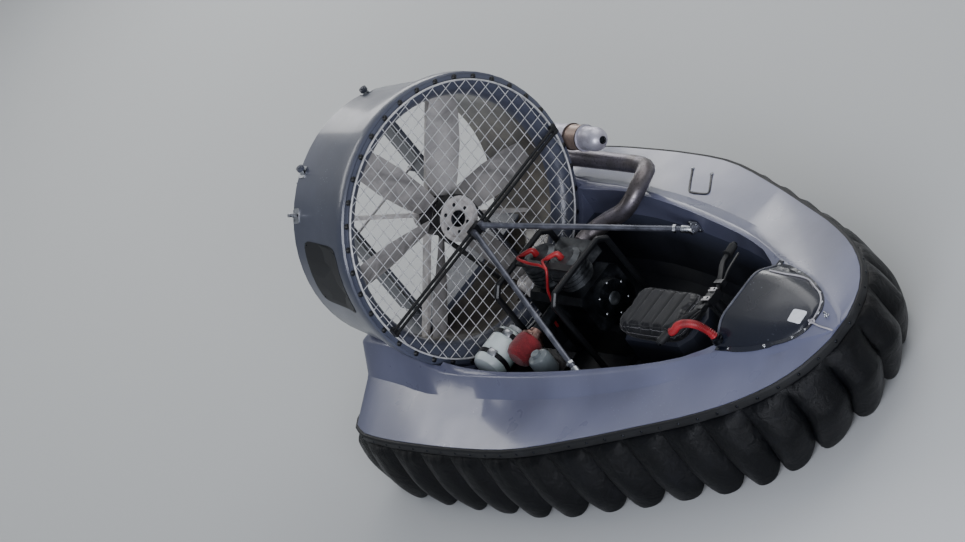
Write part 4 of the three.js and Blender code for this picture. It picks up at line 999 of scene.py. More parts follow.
def patch(shape, placeAt, thick, sides=56, rings=9):
    # A thin sheet with rounded corners laid on a surface; placeAt takes -1 to 1 each way.
    rows = []
    for k in range(1, rings + 1):
        row = []
        for a in ringAngles(sides):
            c, s = math.cos(a), math.sin(a)
            reach = (abs(c) ** 8 + abs(s) ** 8) ** (-1 / 8) * k / rings
            row.append(placeAt(c * reach, s * reach))
        rows.append(row)
    top = [[place + normal * thick * mm for place, normal in row] for row in rows]
    skin(shape, top + [[place for place, _ in rows[-1]]])


def layOn(surface, points, lift, steps=6):
    # A smooth line over a surface through points given by X and Y, with the normal at each step.
    path, normals = [], []
    for p in smoothPath([craft(x, y, 0) for x, y in points], steps):
        place, normal = below(surface, p)
        path.append(place + normal * lift * mm)
        normals.append(normal)
    for _ in range(2):  # eases the line over the creases
        inner = [(path[i - 1] + path[i] * 2 + path[i + 1]) / 4 for i in range(1, len(path) - 1)]
        path = [path[0], *inner, path[-1]]
    return path, normals


def ribRingTree(name, count, finish):
    # Ribs set in a ring about local Z, each pointing away from the middle.
    tree, given = startTree(name, "Ring Radius", "Rib Length", "Rib Width", "Rib Height")
    ring = addNode(tree, "GeometryNodeMeshCircle", {"Vertices": count, "Radius": given["Ring Radius"]})
    size = {0: given["Rib Length"], 1: given["Rib Width"], 2: given["Rib Height"]}
    rib = addNode(tree, "GeometryNodeMeshCube", {"Size": addNode(tree, "ShaderNodeCombineXYZ", size)})
    at = addNode(tree, "GeometryNodeInputPosition")
    turn = addNode(tree, "FunctionNodeAlignRotationToVector", {"Vector": at}, axis="X")
    return placeCopies(tree, ring, rib, turn, finish)


def ribRing(name, tree, place, radius, rib, body):
    # The rib's length, width and height, and the ring's radius, are millimetres.
    labels = ("Ring Radius", "Rib Length", "Rib Width", "Rib Height")
    sizes = {label: size * mm for label, size in zip(labels, (radius, *rib))}
    ribs = grow(name, tree, sizes, bpy.data.meshes.new("empty"), body)
    ribs.data.transform(place)


# Duct: blank number panels, their screws, and the fittings where the rudder posts leave the barrel

panelSet = {
    "x": (-338, -66),
    "degrees": (5.5, 35.0),  # above the duct's axis
    "lift": 0.5,
    "thick": 1.6,
    "screwInset": 0.86,
    "screwRadius": 3.2,
    "screwWasher": 1.4,
}


def ductSkin(x, degrees, side, lift):
    # The place on the duct's outside at an angle above its axis, with its normal.
    a = math.radians(degrees)
    out = Vector((0, side * math.cos(a), math.sin(a)))
    place, normal, _, _ = ductSurface.ray_cast(craft(x, 0, fanAxisZ) + out * 0.7, -out)
    return place + normal * lift * mm, normal


ductSurface = surfaceOf("duct")


def makePanels(chosen):
    (x0, x1), (low, high) = chosen["x"], chosen["degrees"]
    inset = chosen["screwInset"]
    screws = []
    for name, side in (("Stbd", -1), ("Port", 1)):
        def placeAt(u, v):
            x = (x0 + x1) / 2 + u * (x1 - x0) / 2
            return ductSkin(x, (low + high) / 2 + v * (high - low) / 2, side, chosen["lift"])

        shape = bmesh.new()
        patch(shape, placeAt, chosen["thick"])
        panel = finishPiece("numberPanelBlank" + name, shape, panelBlack, "craft")
        for u, v in ((-inset, -inset), (inset, -inset), (inset, inset), (-inset, inset)):
            place, normal = placeAt(u, v)
            screws.append((place + normal * chosen["thick"] * mm, normal))
    radius, washer = chosen["screwRadius"], chosen["screwWasher"]
    fasten("numberPanelScrews", screws, radius, washer, darkHeads, "craft")


makePanels(panelSet)

rearFittingSet = {
    "x": -385.0,
    "places": {"Port": 200.0, "Stbd": -200.0, "Cable": -333.0},  # Y of each fitting
    "plate": (22.0, 20.0),
    "plateThick": 3.0,
    "bossRadius": 12.5,
    "bossFlange": 3.0,
    "bossTop": 1187.0,
    "bossFoot": 12.0,  # how far the boss reaches into the duct's wall
    "cableStop": ((0, 9), (14, 9), (16, 7), (34, 7), (34, 4)),
    "boltShare": 0.72,
}


def makeRearFittings(chosen):
    # Bush plates with a boss under the rudder caps, and a stop for the rudder cable.
    long, wide = chosen["plate"]
    bolts = []
    for name, y in chosen["places"].items():
        def placeAt(u, v):
            return below(ductSurface, craft(chosen["x"] + u * long, y + v * wide, 0), 1.4)

        shape = bmesh.new()
        patch(shape, placeAt, chosen["plateThick"], sides=32, rings=4)
        place, normal = placeAt(0, 0)
        if name == "Cable":
            turned(shape, place, normal, chosen["cableStop"], 16)
        else:
            foot = Vector((place.x, place.y, place.z - chosen["bossFoot"] * mm))
            r, flange = chosen["bossRadius"], chosen["bossRadius"] + chosen["bossFlange"]
            height = chosen["bossTop"] - foot.z / mm
            turned(shape, foot, (0, 0, 1), [(0, flange), (16, flange), (19, r), (height, r)])
        finishPiece("rearRimFitting" + name, shape, brightSteel, "craft")
        for u in (-chosen["boltShare"], chosen["boltShare"]):
            at, up = placeAt(u, 0)
            bolts.append((at + up * chosen["plateThick"] * mm, up))
    fasten("rearRimBolts", bolts, 4.0, 1.6, darkHeads, "craft")


makeRearFittings(rearFittingSet)
print("duct fittings made")


# Cowl: flange and bolts, rear edge trim, blank white square, the cord round its nose

cowlSet = {
    "flangeWidth": 20.0,
    "flangeThick": 3.0,
    "flangeLift": 0.2,
    "overlap": 4.0,  # how far the flange reaches under the cowl's foot
    "boltShares": (0.05, 0.17, 0.3, 0.415, 0.5, 0.585, 0.7, 0.83, 0.95),
    "square": ((1682, -48), (1675, 7), (1730, 15), (1733, -42)),
    "squareLift": 0.3,
    "squareThick": 0.7,
    "trimRadius": 4.6,
    "rearX": 1412.6,
    "rearHalf": 189.0,
}
deckOnly = surfaceOf("deck")
cowlOnly = surfaceOf("cowl")


def makeCowlFlange(chosen):
    loop = smoothPath(footprint("cowl", lambda p: p.x * 10 + p.y), 4)
    path, normals, bolts = [], [], []
    for i, p in enumerate(loop):
        way = loop[min(i + 1, len(loop) - 1)] - loop[max(i - 1, 0)]
        out = Vector((way.y, -way.x, 0)).normalized()
        place, normal = below(deckOnly, p + out * (chosen["flangeWidth"] / 2 - chosen["overlap"]) * mm)
        if place is None:  # past the cockpit's edge
            continue
        path.append(place + normal * chosen["flangeLift"] * mm)
        normals.append(normal)
    shape = bmesh.new()
    sweep(shape, path, plank(chosen["flangeWidth"], chosen["flangeThick"]), normals)
    flange = finishPiece("cowlFlange", shape, cowlBlack, "craft")
    for share in chosen["boltShares"]:
        i = round(share * (len(path) - 1))
        bolts.append((path[i] + normals[i] * chosen["flangeThick"] * mm, normals[i]))
    fasten("cowlFlangeBolts", bolts, 4.6, 1.8, brightHeads, "craft")


def makeCowlTrim(chosen):
    # The rubber on the cowl's rear edge and the blank white square on its top.
    edge = []
    for k in range(41):
        y = chosen["rearHalf"] * math.sin(math.pi * (k / 40 - 0.5))
        edge.append(below(cowlOnly, craft(chosen["rearX"], y, 0))[0])
    shape = bmesh.new()
    sweep(shape, edge, disc(chosen["trimRadius"], 10), Vector((0, 0, 1)))
    trim = finishPiece("cowlEdgeTrim", shape, trimRubber, "craft")

    a, b, c, d = (Vector((*corner, 0)) for corner in chosen["square"])

    def placeAt(u, v):
        spot = (a * (1 - u) + b * (1 + u)) * (1 - v) / 4 + (d * (1 - u) + c * (1 + u)) * (1 + v) / 4
        place, normal = below(cowlOnly, craft(spot.x, spot.y, 0))
        return place + normal * chosen["squareLift"] * mm, normal

    shape = bmesh.new()
    patch(shape, placeAt, chosen["squareThick"], rings=6)
    square = finishPiece("cowlSquareBlank", shape, squareWhite, "craft")


makeCowlFlange(cowlSet)


makeCowlTrim(cowlSet)

cordSet = {
    "radius": 3.2,
    "round": ((1448, 136), (1520, 142), (1590, 160), (1660, 132), (1710, 104), (1744, 56), (1757, -13)),
    "tail": ((1757, -13), (1805, -22), (1864, -22)),
    "knotSize": 4.2,
    "knotLift": 6.0,
}


def makeCowlCord(chosen):
    # A braided line tied off round the cowl's nose, drawn tight to the bow.
    section = disc(chosen["radius"], 8)
    shape = bmesh.new()
    for name in ("round", "tail"):
        sweep(shape, layOn(deckSurface, chosen[name], chosen["radius"])[0], section)
    turn = standing(*onDeck(*chosen["tail"][0], chosen["knotLift"]))
    knot = []
    for t in ringAngles(48):
        x, y = math.sin(t) + 2 * math.sin(2 * t), math.cos(t) - 2 * math.cos(2 * t)
        knot.append(turn @ (Vector((x, y, -math.sin(3 * t))) * chosen["knotSize"] * mm))
    sweep(shape, knot, section, loop=True)
    cord = finishPiece("cowlTieLine", shape, whiteCord, "craft", crease=70)


makeCowlCord(cordSet)

deckStrapSet = {
    "route": ((436, 655), (480, 603), (530, 545), (548, 529), (572, 524), (640, 526), (652, 536), (632, 562),
              (565, 639)),
    "lift": 0.8,
    "width": 8.5,
    "thick": 2.4,
}


def makeDeckStrap(chosen):
    # The webbing loop that lies on the port side deck, bolted at both ends.
    path, normals = layOn(deckOnly, chosen["route"], chosen["lift"], 8)
    shape = bmesh.new()
    sweep(shape, path, plank(chosen["width"], chosen["thick"]), normals)
    strap = finishPiece("portDeckStrap", shape, blackWebbing, "craft")
    ends = [(path[i] + normals[i] * chosen["thick"] * mm, normals[i]) for i in (1, -2)]
    fasten("portDeckStrapBolts", ends, 5.0, 1.6, brightHeads, "craft")


makeDeckStrap(deckStrapSet)

bowEyeSet = {
    "place": (1799, 28),
    "base": ((0, 9), (3, 9), (4, 7), (7, 5)),
    "ringRadius": 9.0,
    "ringHeight": 11.0,
    "wire": 2.4,
}


def makeBowEye(chosen):
    # The small mooring eye on the bow deck.
    centre, normal = onDeck(*chosen["place"])
    turn = standing(centre, normal)
    shape = bmesh.new()
    turned(shape, centre, normal, chosen["base"], 18)
    r, height = chosen["ringRadius"] * mm, chosen["ringHeight"] * mm
    loop = [turn @ Vector((r * math.cos(a), 0, height + r * math.sin(a))) for a in ringAngles(24)]
    sweep(shape, loop, disc(chosen["wire"], 8), loop=True)
    finishPiece("bowMooringEye", shape, brightSteel, "craft")


makeBowEye(bowEyeSet)
print("cowl and deck trim made")


# Engine bay: straps and cap of the tank, filter clamps, plug boots and leads, vents of the cover

tankSet = {
    "x": 112.0,
    "z": 330.3,
    "radius": 66.4,
    "strapY": (-222.0, -318.0),
    "strapWidth": 20.0,
    "strapThick": 2.2,
    "buckle": ((-14, -17, 0), (14, 17, 6)),
    "buckleAngle": 0.9,
    "capY": -184.0,
    "capRadius": 31.0,
    "cap": ((0, 28), (1, 31), (17, 31), (20, 27), (20, 14), (18, 12)),
    "knurls": 28,
    "knurl": (2.4, 2.6, 15),
}


def makeTankTrim(chosen):
    centre = craft(chosen["x"], 0, chosen["z"])
    outward = [Vector((math.cos(a), 0, math.sin(a))) for a in ringAngles(48)]
    atBuckle = Vector((math.cos(chosen["buckleAngle"]), 0, math.sin(chosen["buckleAngle"])))
    webbing, buckles = bmesh.new(), bmesh.new()
    for y in chosen["strapY"]:
        middle = centre + Vector((0, y * mm, 0))
        loop = [middle + out * chosen["radius"] * mm for out in outward]
        sweep(webbing, loop, plank(chosen["strapWidth"], chosen["strapThick"]), outward, loop=True)
        at = standing(middle + atBuckle * (chosen["radius"] + 2) * mm, atBuckle, (0, 1, 0))
        block(buckles, *chosen["buckle"], 1.5, at)
    straps = finishPiece("tankStraps", webbing, blackWebbing, "craft")
    finishPiece("tankStrapBuckles", buckles, brightSteel, "craft")
    shape = bmesh.new()
    turned(shape, centre + Vector((0, chosen["capY"] * mm, 0)), (0, 1, 0), chosen["cap"], 40)
    cap = finishPiece("tankCap", shape, capWhite, "craft")
    tree = ribRingTree("tankCapKnurls", chosen["knurls"], capWhite)
    place = standing(centre + Vector((0, (chosen["capY"] + 10) * mm, 0)), (0, 1, 0))
    ribRing("tankCapKnurling", tree, place, chosen["capRadius"] + 0.4, chosen["knurl"], "craft")


makeTankTrim(tankSet)

filterSet = {
    "clampPlace": (245.0, -203.0, 338.0),
    "clampRadius": 47.5,
    "band": ((-6, 44.5), (-6, 47.5), (-5, 48.7), (5, 48.7), (6, 47.5), (6, 44.5)),
    "screwBox": ((-6, -12, -2), (6, 12, 9)),
    "screwWay": (0.5, 0, 0.86),
    "flangePlace": (245.0, -187.0, 338.0),
    "flange": ((-12, 33), (-11, 36), (4, 36), (6, 30), (20, 29), (20, 26)),
}


def makeFilterTrim(chosen):
    # The metal band that clamps the foam to the inlet, with its screw, and the inlet's flange.
    centre, out = craft(*chosen["clampPlace"]), Vector(chosen["screwWay"])
    shape = bmesh.new()
    turned(shape, centre, (0, 1, 0), chosen["band"], 40)
    block(
        shape, *chosen["screwBox"], 1.2, standing(centre + out * (chosen["clampRadius"] * mm), out, (0, 1, 0))
    )
    finishPiece("filterClamp", shape, clampBronze, "craft")
    shape = bmesh.new()
    turned(shape, craft(*chosen["flangePlace"]), (0, 1, 0), chosen["flange"], 36)
    finishPiece("inletFlange", shape, clampBronze, "craft")


makeFilterTrim(filterSet)

leadSet = {
    "plugs": ((175, 60, 519), (325, 60, 519)),
    "bootRadius": 11.5,
    "leadRadius": 5.4,
    "rear": ((141, 26, 533), (150, 4, 546), (190, -10, 552), (250, -16, 548), (300, -16, 546),
             (343, -22, 540)),
    "front": ((291, 26, 533), (300, 6, 546), (325, -12, 550), (350, -30, 538), (342, -52, 500),
              (318, -62, 458), (284, -62, 392), (238, -62, 330), (196, -61, 282), (172, -56, 240)),
}


def makeLeads(chosen):
    # Red plug boots and the leads that run over the spine bar and down the crankcase.
    shape = bmesh.new()
    for (x, y, z), name in zip(chosen["plugs"], ("rear", "front")):
        bend = [(x, y, z - 14), (x, y, z + 6), (x - 6, y - 6, z + 14), chosen[name][0]]
        path = smoothPath([craft(*p) for p in bend], 5)
        scales = [1.15 - 0.45 * i / (len(path) - 1) for i in range(len(path))]
        sweep(shape, path, disc(chosen["bootRadius"], 14), scales=scales)
        sweep(shape, smoothPath([craft(*p) for p in chosen[name]]), disc(chosen["leadRadius"], 8))
    leads = finishPiece("plugBootsAndLeads", shape, redRubber, "craft", crease=50)


makeLeads(leadSet)

coverSet = {
    "centre": (465.0, 60.0, 305.0),
    "ribs": 18,
    "ribRadius": 46.0,
    "rib": (26, 4, 4),
    "cap": ((-1, 26), (2, 26), (5, 22), (6, 8)),
    "screws": 6,
    "screwCircle": 66.0,
    "screwTurn": 0.3,
}


def makeCoverVents(chosen):
    # Raised ribs and a centre cap on the flywheel cover, with its ring of screws.
    centre = craft(*chosen["centre"])
    tree = ribRingTree("coverRibs", chosen["ribs"], castDark)
    place = standing(centre, (1, 0, 0))
    ribRing("flywheelCoverRibs", tree, place, chosen["ribRadius"], chosen["rib"], "craft")
    shape = bmesh.new()
    turned(shape, centre, (1, 0, 0), chosen["cap"], 30)
    finishPiece("flywheelCoverCap", shape, castAlloy, "craft")
    screws = facingAhead(centre, -1, chosen["screwCircle"], chosen["screws"], chosen["screwTurn"])
    fasten("flywheelCoverScrews", screws, 3.4, 1.4, brightHeads, "craft")


makeCoverVents(coverSet)

hubSet = {
    "faceX": -22.0,
    "washer": ((-4, 31), (0, 31), (1.5, 29), (2, 16)),
    "nut": ((0, 16.5), (7, 16.5), (9, 14)),
    "shaftEnd": ((6, 9), (12, 9), (13, 7)),
    "bolts": 6,
    "boltCircle": 52.0,
    "boltX": -12.0,
}


def makeHubTrim(chosen):
    # The shaft's end nut and the bolts on the fan pulley's face.
    centre = craft(chosen["faceX"], 0, fanAxisZ)
    shape = bmesh.new()
    for name, sides in (("washer", 32), ("nut", 6), ("shaftEnd", 16)):
        turned(shape, centre, (1, 0, 0), chosen[name], sides)
    finishPiece("fanShaftNut", shape, darkSteel, "fan_rotor")
    bolts = facingAhead(centre, chosen["boltX"], chosen["boltCircle"], chosen["bolts"])
    fasten("fanPulleyBolts", bolts, 5.0, 1.6, darkHeads, "fan_rotor")


makeHubTrim(hubSet)

outletSet = {
    "place": (130.5, 586.0, 557.0),
    "tube": ((0, 15), (3.5, 15), (5, 13.5), (5, 11), (1.5, 11)),
}


def makeOutlet(chosen):
    # The dark drain stub in the silencer's nose.
    shape = bmesh.new()
    turned(shape, craft(*chosen["place"]), (1, 0, 0), chosen["tube"], 28)
    finishPiece("silencerOutletStub", shape, darkSteel, "craft")


makeOutlet(outletSet)

beltSet = {
    "pitch": 9.5,
    "tooth": (4.4, 2.6),  # along the belt and inward
    "x": (-63.0, -25.0),
    "big": ((0, 745), 83.6),
    "small": ((60, 305), 40.6),
    "clear": 0.04,  # share of each straight run left bare beside the pulleys
}


def beltTeethTree():
    tree, given = startTree("beltTeeth", "Pitch", "Tooth Length", "Tooth Depth", "Belt Width")
    size = {0: given["Belt Width"], 1: given["Tooth Length"], 2: given["Tooth Depth"]}
    tooth = addNode(tree, "GeometryNodeMeshCube", {"Size": addNode(tree, "ShaderNodeCombineXYZ", size)})
    run = {"Curve": given["Geometry"], "Length": given["Pitch"]}
    spots = addNode(tree, "GeometryNodeCurveToPoints", run, mode="LENGTH")
    upright = addNode(tree, "FunctionNodeAlignRotationToVector", {"Vector": (1, 0, 0)}, axis="X")
    aim = {"Rotation": upright, "Vector": spots.outputs["Tangent"]}
    turn = addNode(tree, "FunctionNodeAlignRotationToVector", aim, axis="Y", pivot_axis="X")
    return placeCopies(tree, spots, tooth, turn, trimRubber)


def makeBeltTeeth(chosen):
    # Teeth on the inner side of the belt's two straight runs.
    (bigAt, bigR), (smallAt, smallR) = chosen["big"], chosen["small"]
    way = Vector(smallAt) - Vector(bigAt)
    lean = math.acos((bigR - smallR) / way.length)
    heading = math.atan2(way.y, way.x)
    x0, x1 = chosen["x"]
    long, deep = chosen["tooth"]
    labels = ("Pitch", "Tooth Length", "Tooth Depth", "Belt Width")
    sizes = {label: size * mm for label, size in zip(labels, (chosen["pitch"], long, deep, x1 - x0))}
    tree = beltTeethTree()
    for name, side in (("Port", 1), ("Stbd", -1)):
        out = Vector((math.cos(heading + side * lean), math.sin(heading + side * lean)))
        ends = [Vector(bigAt) + out * (bigR - deep / 2), Vector(smallAt) + out * (smallR - deep / 2)]
        run = [ends[0].lerp(ends[1], share) for share in (chosen["clear"], 1 - chosen["clear"])]
        line = curveThrough([craft((x0 + x1) / 2, p.x, p.y) for p in run], False)
        teeth = grow("beltTeeth" + name, tree, sizes, line, "craft")


makeBeltTeeth(beltSet)
print("engine bay trim made")


# Stays: clevis bolts, lock nuts and plate bolts

stayTrimSet = {
    "head": (58, 22, 695),
    "foot": (720, 362.8, 378),
    "nutShare": 0.9,
    "lockNut": ((0, 14), (2, 16), (12, 16), (14, 14)),
    "clevisBack": 50.0,
    "clevis": ((0, 12.5), (4, 15.5), (34, 15.5), (50, 12)),
    "eyeHalf": 9.0,
    "eyeBolt": ((0, 13.5), (2, 13.5), (2.2, 11.5), (10, 11.5), (11, 9)),
    "plateY": 372.0,
    "plateBolts": ((-15, -15), (15, -15), (-15, 15), (15, 15)),
    "clampBolts": ((-22, -12), (22, -12), (-22, 12), (22, 12)),
    "clampFace": (44.2, 688.0),
}


def makeStayTrim(chosen):
    shape = bmesh.new()
    bolts = []
    for side in (1, -1):
        head, foot = (craft(x, side * y, z) for x, y, z in (chosen["head"], chosen["foot"]))
        way = (foot - head).normalized()
        turned(shape, head.lerp(foot, chosen["nutShare"]), way, chosen["lockNut"], 6)
        turned(shape, foot - way * (chosen["clevisBack"] * mm), way, chosen["clevis"], 18)
        inner = foot - Vector((0, side * chosen["eyeHalf"] * mm, 0))
        turned(shape, inner, (0, -side, 0), chosen["eyeBolt"], 6)
        x, _, z = chosen["foot"]
        for dx, dz in chosen["plateBolts"]:
            bolts.append((craft(x + dx, side * chosen["plateY"], z + dz), Vector((0, -side, 0))))
    finishPiece("stayClevisesAndNuts", shape, brightSteel, "craft", crease=28)
    x, z = chosen["clampFace"]
    bolts += [(craft(x, dy, z + dz), Vector((1, 0, 0))) for dy, dz in chosen["clampBolts"]]
    fasten("stayPlateBolts", bolts, 4.0, 1.4, brightHeads, "craft")


makeStayTrim(stayTrimSet)


# Steering: clamp caps and bolts, grips and end plugs, and the ribbed conduit with its gland

steerSet = {
    "pivot": (1238.0, 0.0, 442.0),
    "lean": math.atan2(-52, 360),
    "gripRadius": 16.8,
    "gripRun": (186.5, 236.0),
    "gripRibs": 9,
    "endPlug": ((0, 10.5), (6, 10.5), (8, 8), (8, 4)),
    "capPlace": (22, 46.2),
    "cap": ((-22, -8, 0), (22, 8, 7)),
    "capBolts": ((-16, -22), (16, -22), (-16, 22), (16, 22)),
    "boltHeight": 53.2,
}


def atBars(x, y, z):
    # A point given in the handlebar's own frame, in metres in the craft.
    c, s = math.cos(steerSet["lean"]), math.sin(steerSet["lean"])
    px, py, pz = steerSet["pivot"]
    return craft(px + x * c + z * s, py + y, pz - x * s + z * c)


def gripProfile(length, r, ribs):
    # A flange, raised ribs with grooves between, and a rounded end, in millimetres.
    step = (length - 9) / ribs
    profile = [(0, 11.8), (0, r + 3.5), (2.5, r + 3.5), (3.5, r - 0.6)]
    for i in range(ribs):
        a = 4.5 + (length - 9) * i / ribs
        profile += [(a, r - 1.2), (a + step * 0.25, r), (a + step * 0.7, r), (a + step * 0.95, r - 1.2)]
    return profile + [(length - 3, r - 1), (length - 2, r - 3), (length + 1.5, r - 5), (length + 1.5, 11.6)]


def makeBarTrim(chosen):
    for name, side in (("Stbd", -1), ("Port", 1)):
        # The bar's ends sweep back as they go out.
        start, end = (atBars(-60 - 0.2045 * (y - 150), side * y, 52) for y in chosen["gripRun"])
        axis = (end - start).normalized()
        profile = gripProfile((end - start).length / mm, chosen["gripRadius"], chosen["gripRibs"])
        shape = bmesh.new()
        turned(shape, start, axis, profile, 28)
        grip = finishPiece("barGrip" + name, shape, gripRubber, "steering", crease=50)
        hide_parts("grip_stbd" if side < 0 else "grip_port")
        shape = bmesh.new()
        turned(shape, end + axis * 0.0012, axis, chosen["endPlug"], 20)
        finishPiece("barEndPlug" + name, shape, darkSteel, "steering")
    up = (atBars(0, 0, 1) - atBars(0, 0, 0)).normalized()
    ahead = (atBars(1, 0, 0) - atBars(0, 0, 0)).normalized()
    y, z = chosen["capPlace"]
    shape = bmesh.new()
    for side in (-1, 1):
        block(shape, *chosen["cap"], 2, standing(atBars(0, side * y, z), up, ahead))
    finishPiece("barClampCaps", shape, turnedAlloy, "steering")
    heads = [(atBars(x, y, chosen["boltHeight"]), up) for x, y in chosen["capBolts"]]
    fasten("barClampBolts", heads, 3.6, 1.2, darkHeads, "steering")


makeBarTrim(steerSet)

conduitSet = {
    # The arch that the photograph shows from the starboard grip to the cowl's corner.
    "route": ((1163, -176, 478), (1180, -184, 486), (1212, -187, 502), (1262, -188, 535), (1322, -187, 553),
              (1380, -186, 552), (1411, -184, 530), (1424, -182, 505), (1424, -180, 482)),
    "blendEnd": (1380, -186, 500),
    "radius": 13.2,
    "ribPitch": 8.0,
    "ribHeight": 2.2,
    "gland": (1424, -180, 476),
    "glandBody": ((-12, 21), (2, 21), (4, 18.5)),
    "glandNut": ((3, 19.5), (14, 19.5), (16, 16.5)),
}


def makeConduit(chosen):
    # A red ribbed conduit that carries the throttle cable into the cowl.
    path = smoothPath([craft(*p) for p in chosen["route"]], 40)
    spots, passed, target = [path[0]], 0.0, 0.0
    step = chosen["ribPitch"] * mm / 6
    for a, b in zip(path, path[1:]):
        passed += (b - a).length
        if passed >= target + step:
            target += step
            spots.append(b)
    rise = chosen["ribHeight"] / chosen["radius"]
    scales = [1 + rise * math.sin(math.tau * i / 6) for i in range(len(spots))]
    shape = bmesh.new()
    sweep(shape, spots, disc(chosen["radius"], 18), Vector((0, 1, 0)), scales=scales)
    conduit = finishPiece("throttleConduit", shape, redRubber, None, crease=80)
    tuple(path[0])
    tuple(craft(*chosen["blendEnd"]))
    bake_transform(conduit)
    foot = craft(*chosen["gland"])
    shape = bmesh.new()
    turned(shape, foot, (0, 0, 1), chosen["glandBody"], 24)
    turned(shape, foot, (0, 0, 1), chosen["glandNut"], 6)
    finishPiece("conduitGland", shape, darkSteel, "craft")


makeConduit(conduitSet)
print("steering trim made")


# Seat: the pad is blown up as cloth, then gets its channels, welt and stitches

cushionSet = {
    "shrink": 2.0,  # each side, before the pressure fills it out
    "voxel": 5.0,
    "pressure": 5.0,
    "mass": 0.3,
    "heldHeight": 4.0,  # the underside up to here stays where it is
    "frames": 20,
    "cap": 9.0,  # most that a point may move
    "channels": 5,
    "channelDepth": 7.0,
    "channelReach": 6.0,
    "crown": 4.0,
    "sideInset": 26.0,
    "weltRadius": 3.0,
    "welts": {"Upper": (13.0, -7), "Lower": (47.0, 7)},  # drop from the top, and the stitches' distance above
    "stitch": (7.5, 4.6, 1.1),  # pitch, length and thickness
}


def blownPad(chosen):
    # The CAD pad a little smaller, remeshed, then filled by pressure with its underside held.
    low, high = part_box("seat_cushion")
    centre, half = (low + high) / 2, (high - low) / 2
    seed = nodes["seat_cushion"].data.copy()
    shrink = chosen["shrink"] * mm
    for v in seed.vertices:
        for k in (0, 1):
            v.co[k] = centre[k] + (v.co[k] - centre[k]) * (1 - shrink / half[k])
        v.co.z = low.z + (v.co.z - low.z) * (1 - shrink / (half.z * 2))
    pad = bpy.data.objects.new("padSeed", seed)
    bpy.context.scene.collection.objects.link(pad)
    mesher = pad.modifiers.new("remesh", "REMESH")
    mesher.mode = "VOXEL"
    mesher.voxel_size = chosen["voxel"] * mm
    view = bpy.context.evaluated_depsgraph_get()
    mesh = bpy.data.meshes.new_from_object(pad.evaluated_get(view), depsgraph=view)
    pad.modifiers.clear()
    pad.data = mesh
    rest = [v.co.copy() for v in mesh.vertices]
    held = pad.vertex_groups.new(name="held")
    limit = low.z + chosen["heldHeight"] * mm
    held.add([i for i, p in enumerate(rest) if p.z < limit], 1.0, "REPLACE")
    cloth = pad.modifiers.new("cloth", "CLOTH")
    cloth.settings.quality = 6
    cloth.settings.mass = chosen["mass"]
    cloth.settings.use_pressure = True
    cloth.settings.uniform_pressure_force = chosen["pressure"]
    cloth.settings.effector_weights.gravity = 0
    cloth.settings.vertex_group_mass = "held"
    cloth.point_cache.frame_start = 1
    cloth.point_cache.frame_end = chosen["frames"]
    for step in range(1, chosen["frames"] + 1):
        bpy.context.scene.frame_set(step)
    view = bpy.context.evaluated_depsgraph_get()
    blown = [v.co.copy() for v in pad.evaluated_get(view).to_mesh().vertices]
    pad.evaluated_get(view).to_mesh_clear()
    pad.modifiers.clear()
    bpy.context.scene.frame_set(1)
    return pad, rest, blown


def dashTree(name, finish):
    # Short bars along a curve, such as stitches.
    tree, given = startTree(name, "Pitch", "Dash Length", "Dash Thickness")
    size = {0: given["Dash Length"], 1: given["Dash Thickness"], 2: given["Dash Thickness"]}
    dash = addNode(tree, "GeometryNodeMeshCube", {"Size": addNode(tree, "ShaderNodeCombineXYZ", size)})
    run = {"Curve": given["Geometry"], "Length": given["Pitch"]}
    spots = addNode(tree, "GeometryNodeCurveToPoints", run, mode="LENGTH")
    turn = addNode(tree, "FunctionNodeAlignRotationToVector", {"Vector": spots.outputs["Tangent"]}, axis="X")
    return placeCopies(tree, spots, dash, turn, finish)


def makeCushion(chosen):
    low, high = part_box("seat_cushion")
    centre = (low + high) / 2
    pad, rest, blown = blownPad(chosen)
    cap = chosen["cap"] * mm
    for v, old, new in zip(pad.data.vertices, rest, blown):
        move = new - old
        v.co = old + (move * (cap / move.length) if move.length > cap else move)
    shape = bmesh.new()
    shape.from_mesh(pad.data)
    bpy.data.objects.remove(pad)
    bmesh.ops.subdivide_edges(shape, edges=shape.edges, cuts=1, use_grid_fill=True, smooth=0.6)
    inset = chosen["sideInset"] * mm
    pitch = (high.x - low.x - 2 * inset) / chosen["channels"]
    for v in shape.verts:
        above = min(max((v.co.z - centre.z) / (high.z - centre.z), 0), 1)
        if above <= 0:
            v.co.z = max(v.co.z, low.z + 0.0003)
            continue
        edge = min(high.y - v.co.y, v.co.y - low.y, high.x - v.co.x, v.co.x - low.x) / inset
        inside = min(max(edge, 0), 1)
        share = (v.co.x - low.x - inset) / pitch
        off = abs(share - round(share)) * pitch / (chosen["channelReach"] * mm)
        grooved = -0.2 < share < chosen["channels"] + 0.2
        groove = math.exp(-off * off) * chosen["channelDepth"] if grooved else 0
        crown = chosen["crown"] * abs(math.sin(math.pi * share)) ** 0.7
        v.co.z += (crown - groove) * inside * above * mm
    cushion = finishPiece("seatPad", shape, seatVinyl, "craft", crease=75)
    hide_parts("seat_cushion")
    return cushion


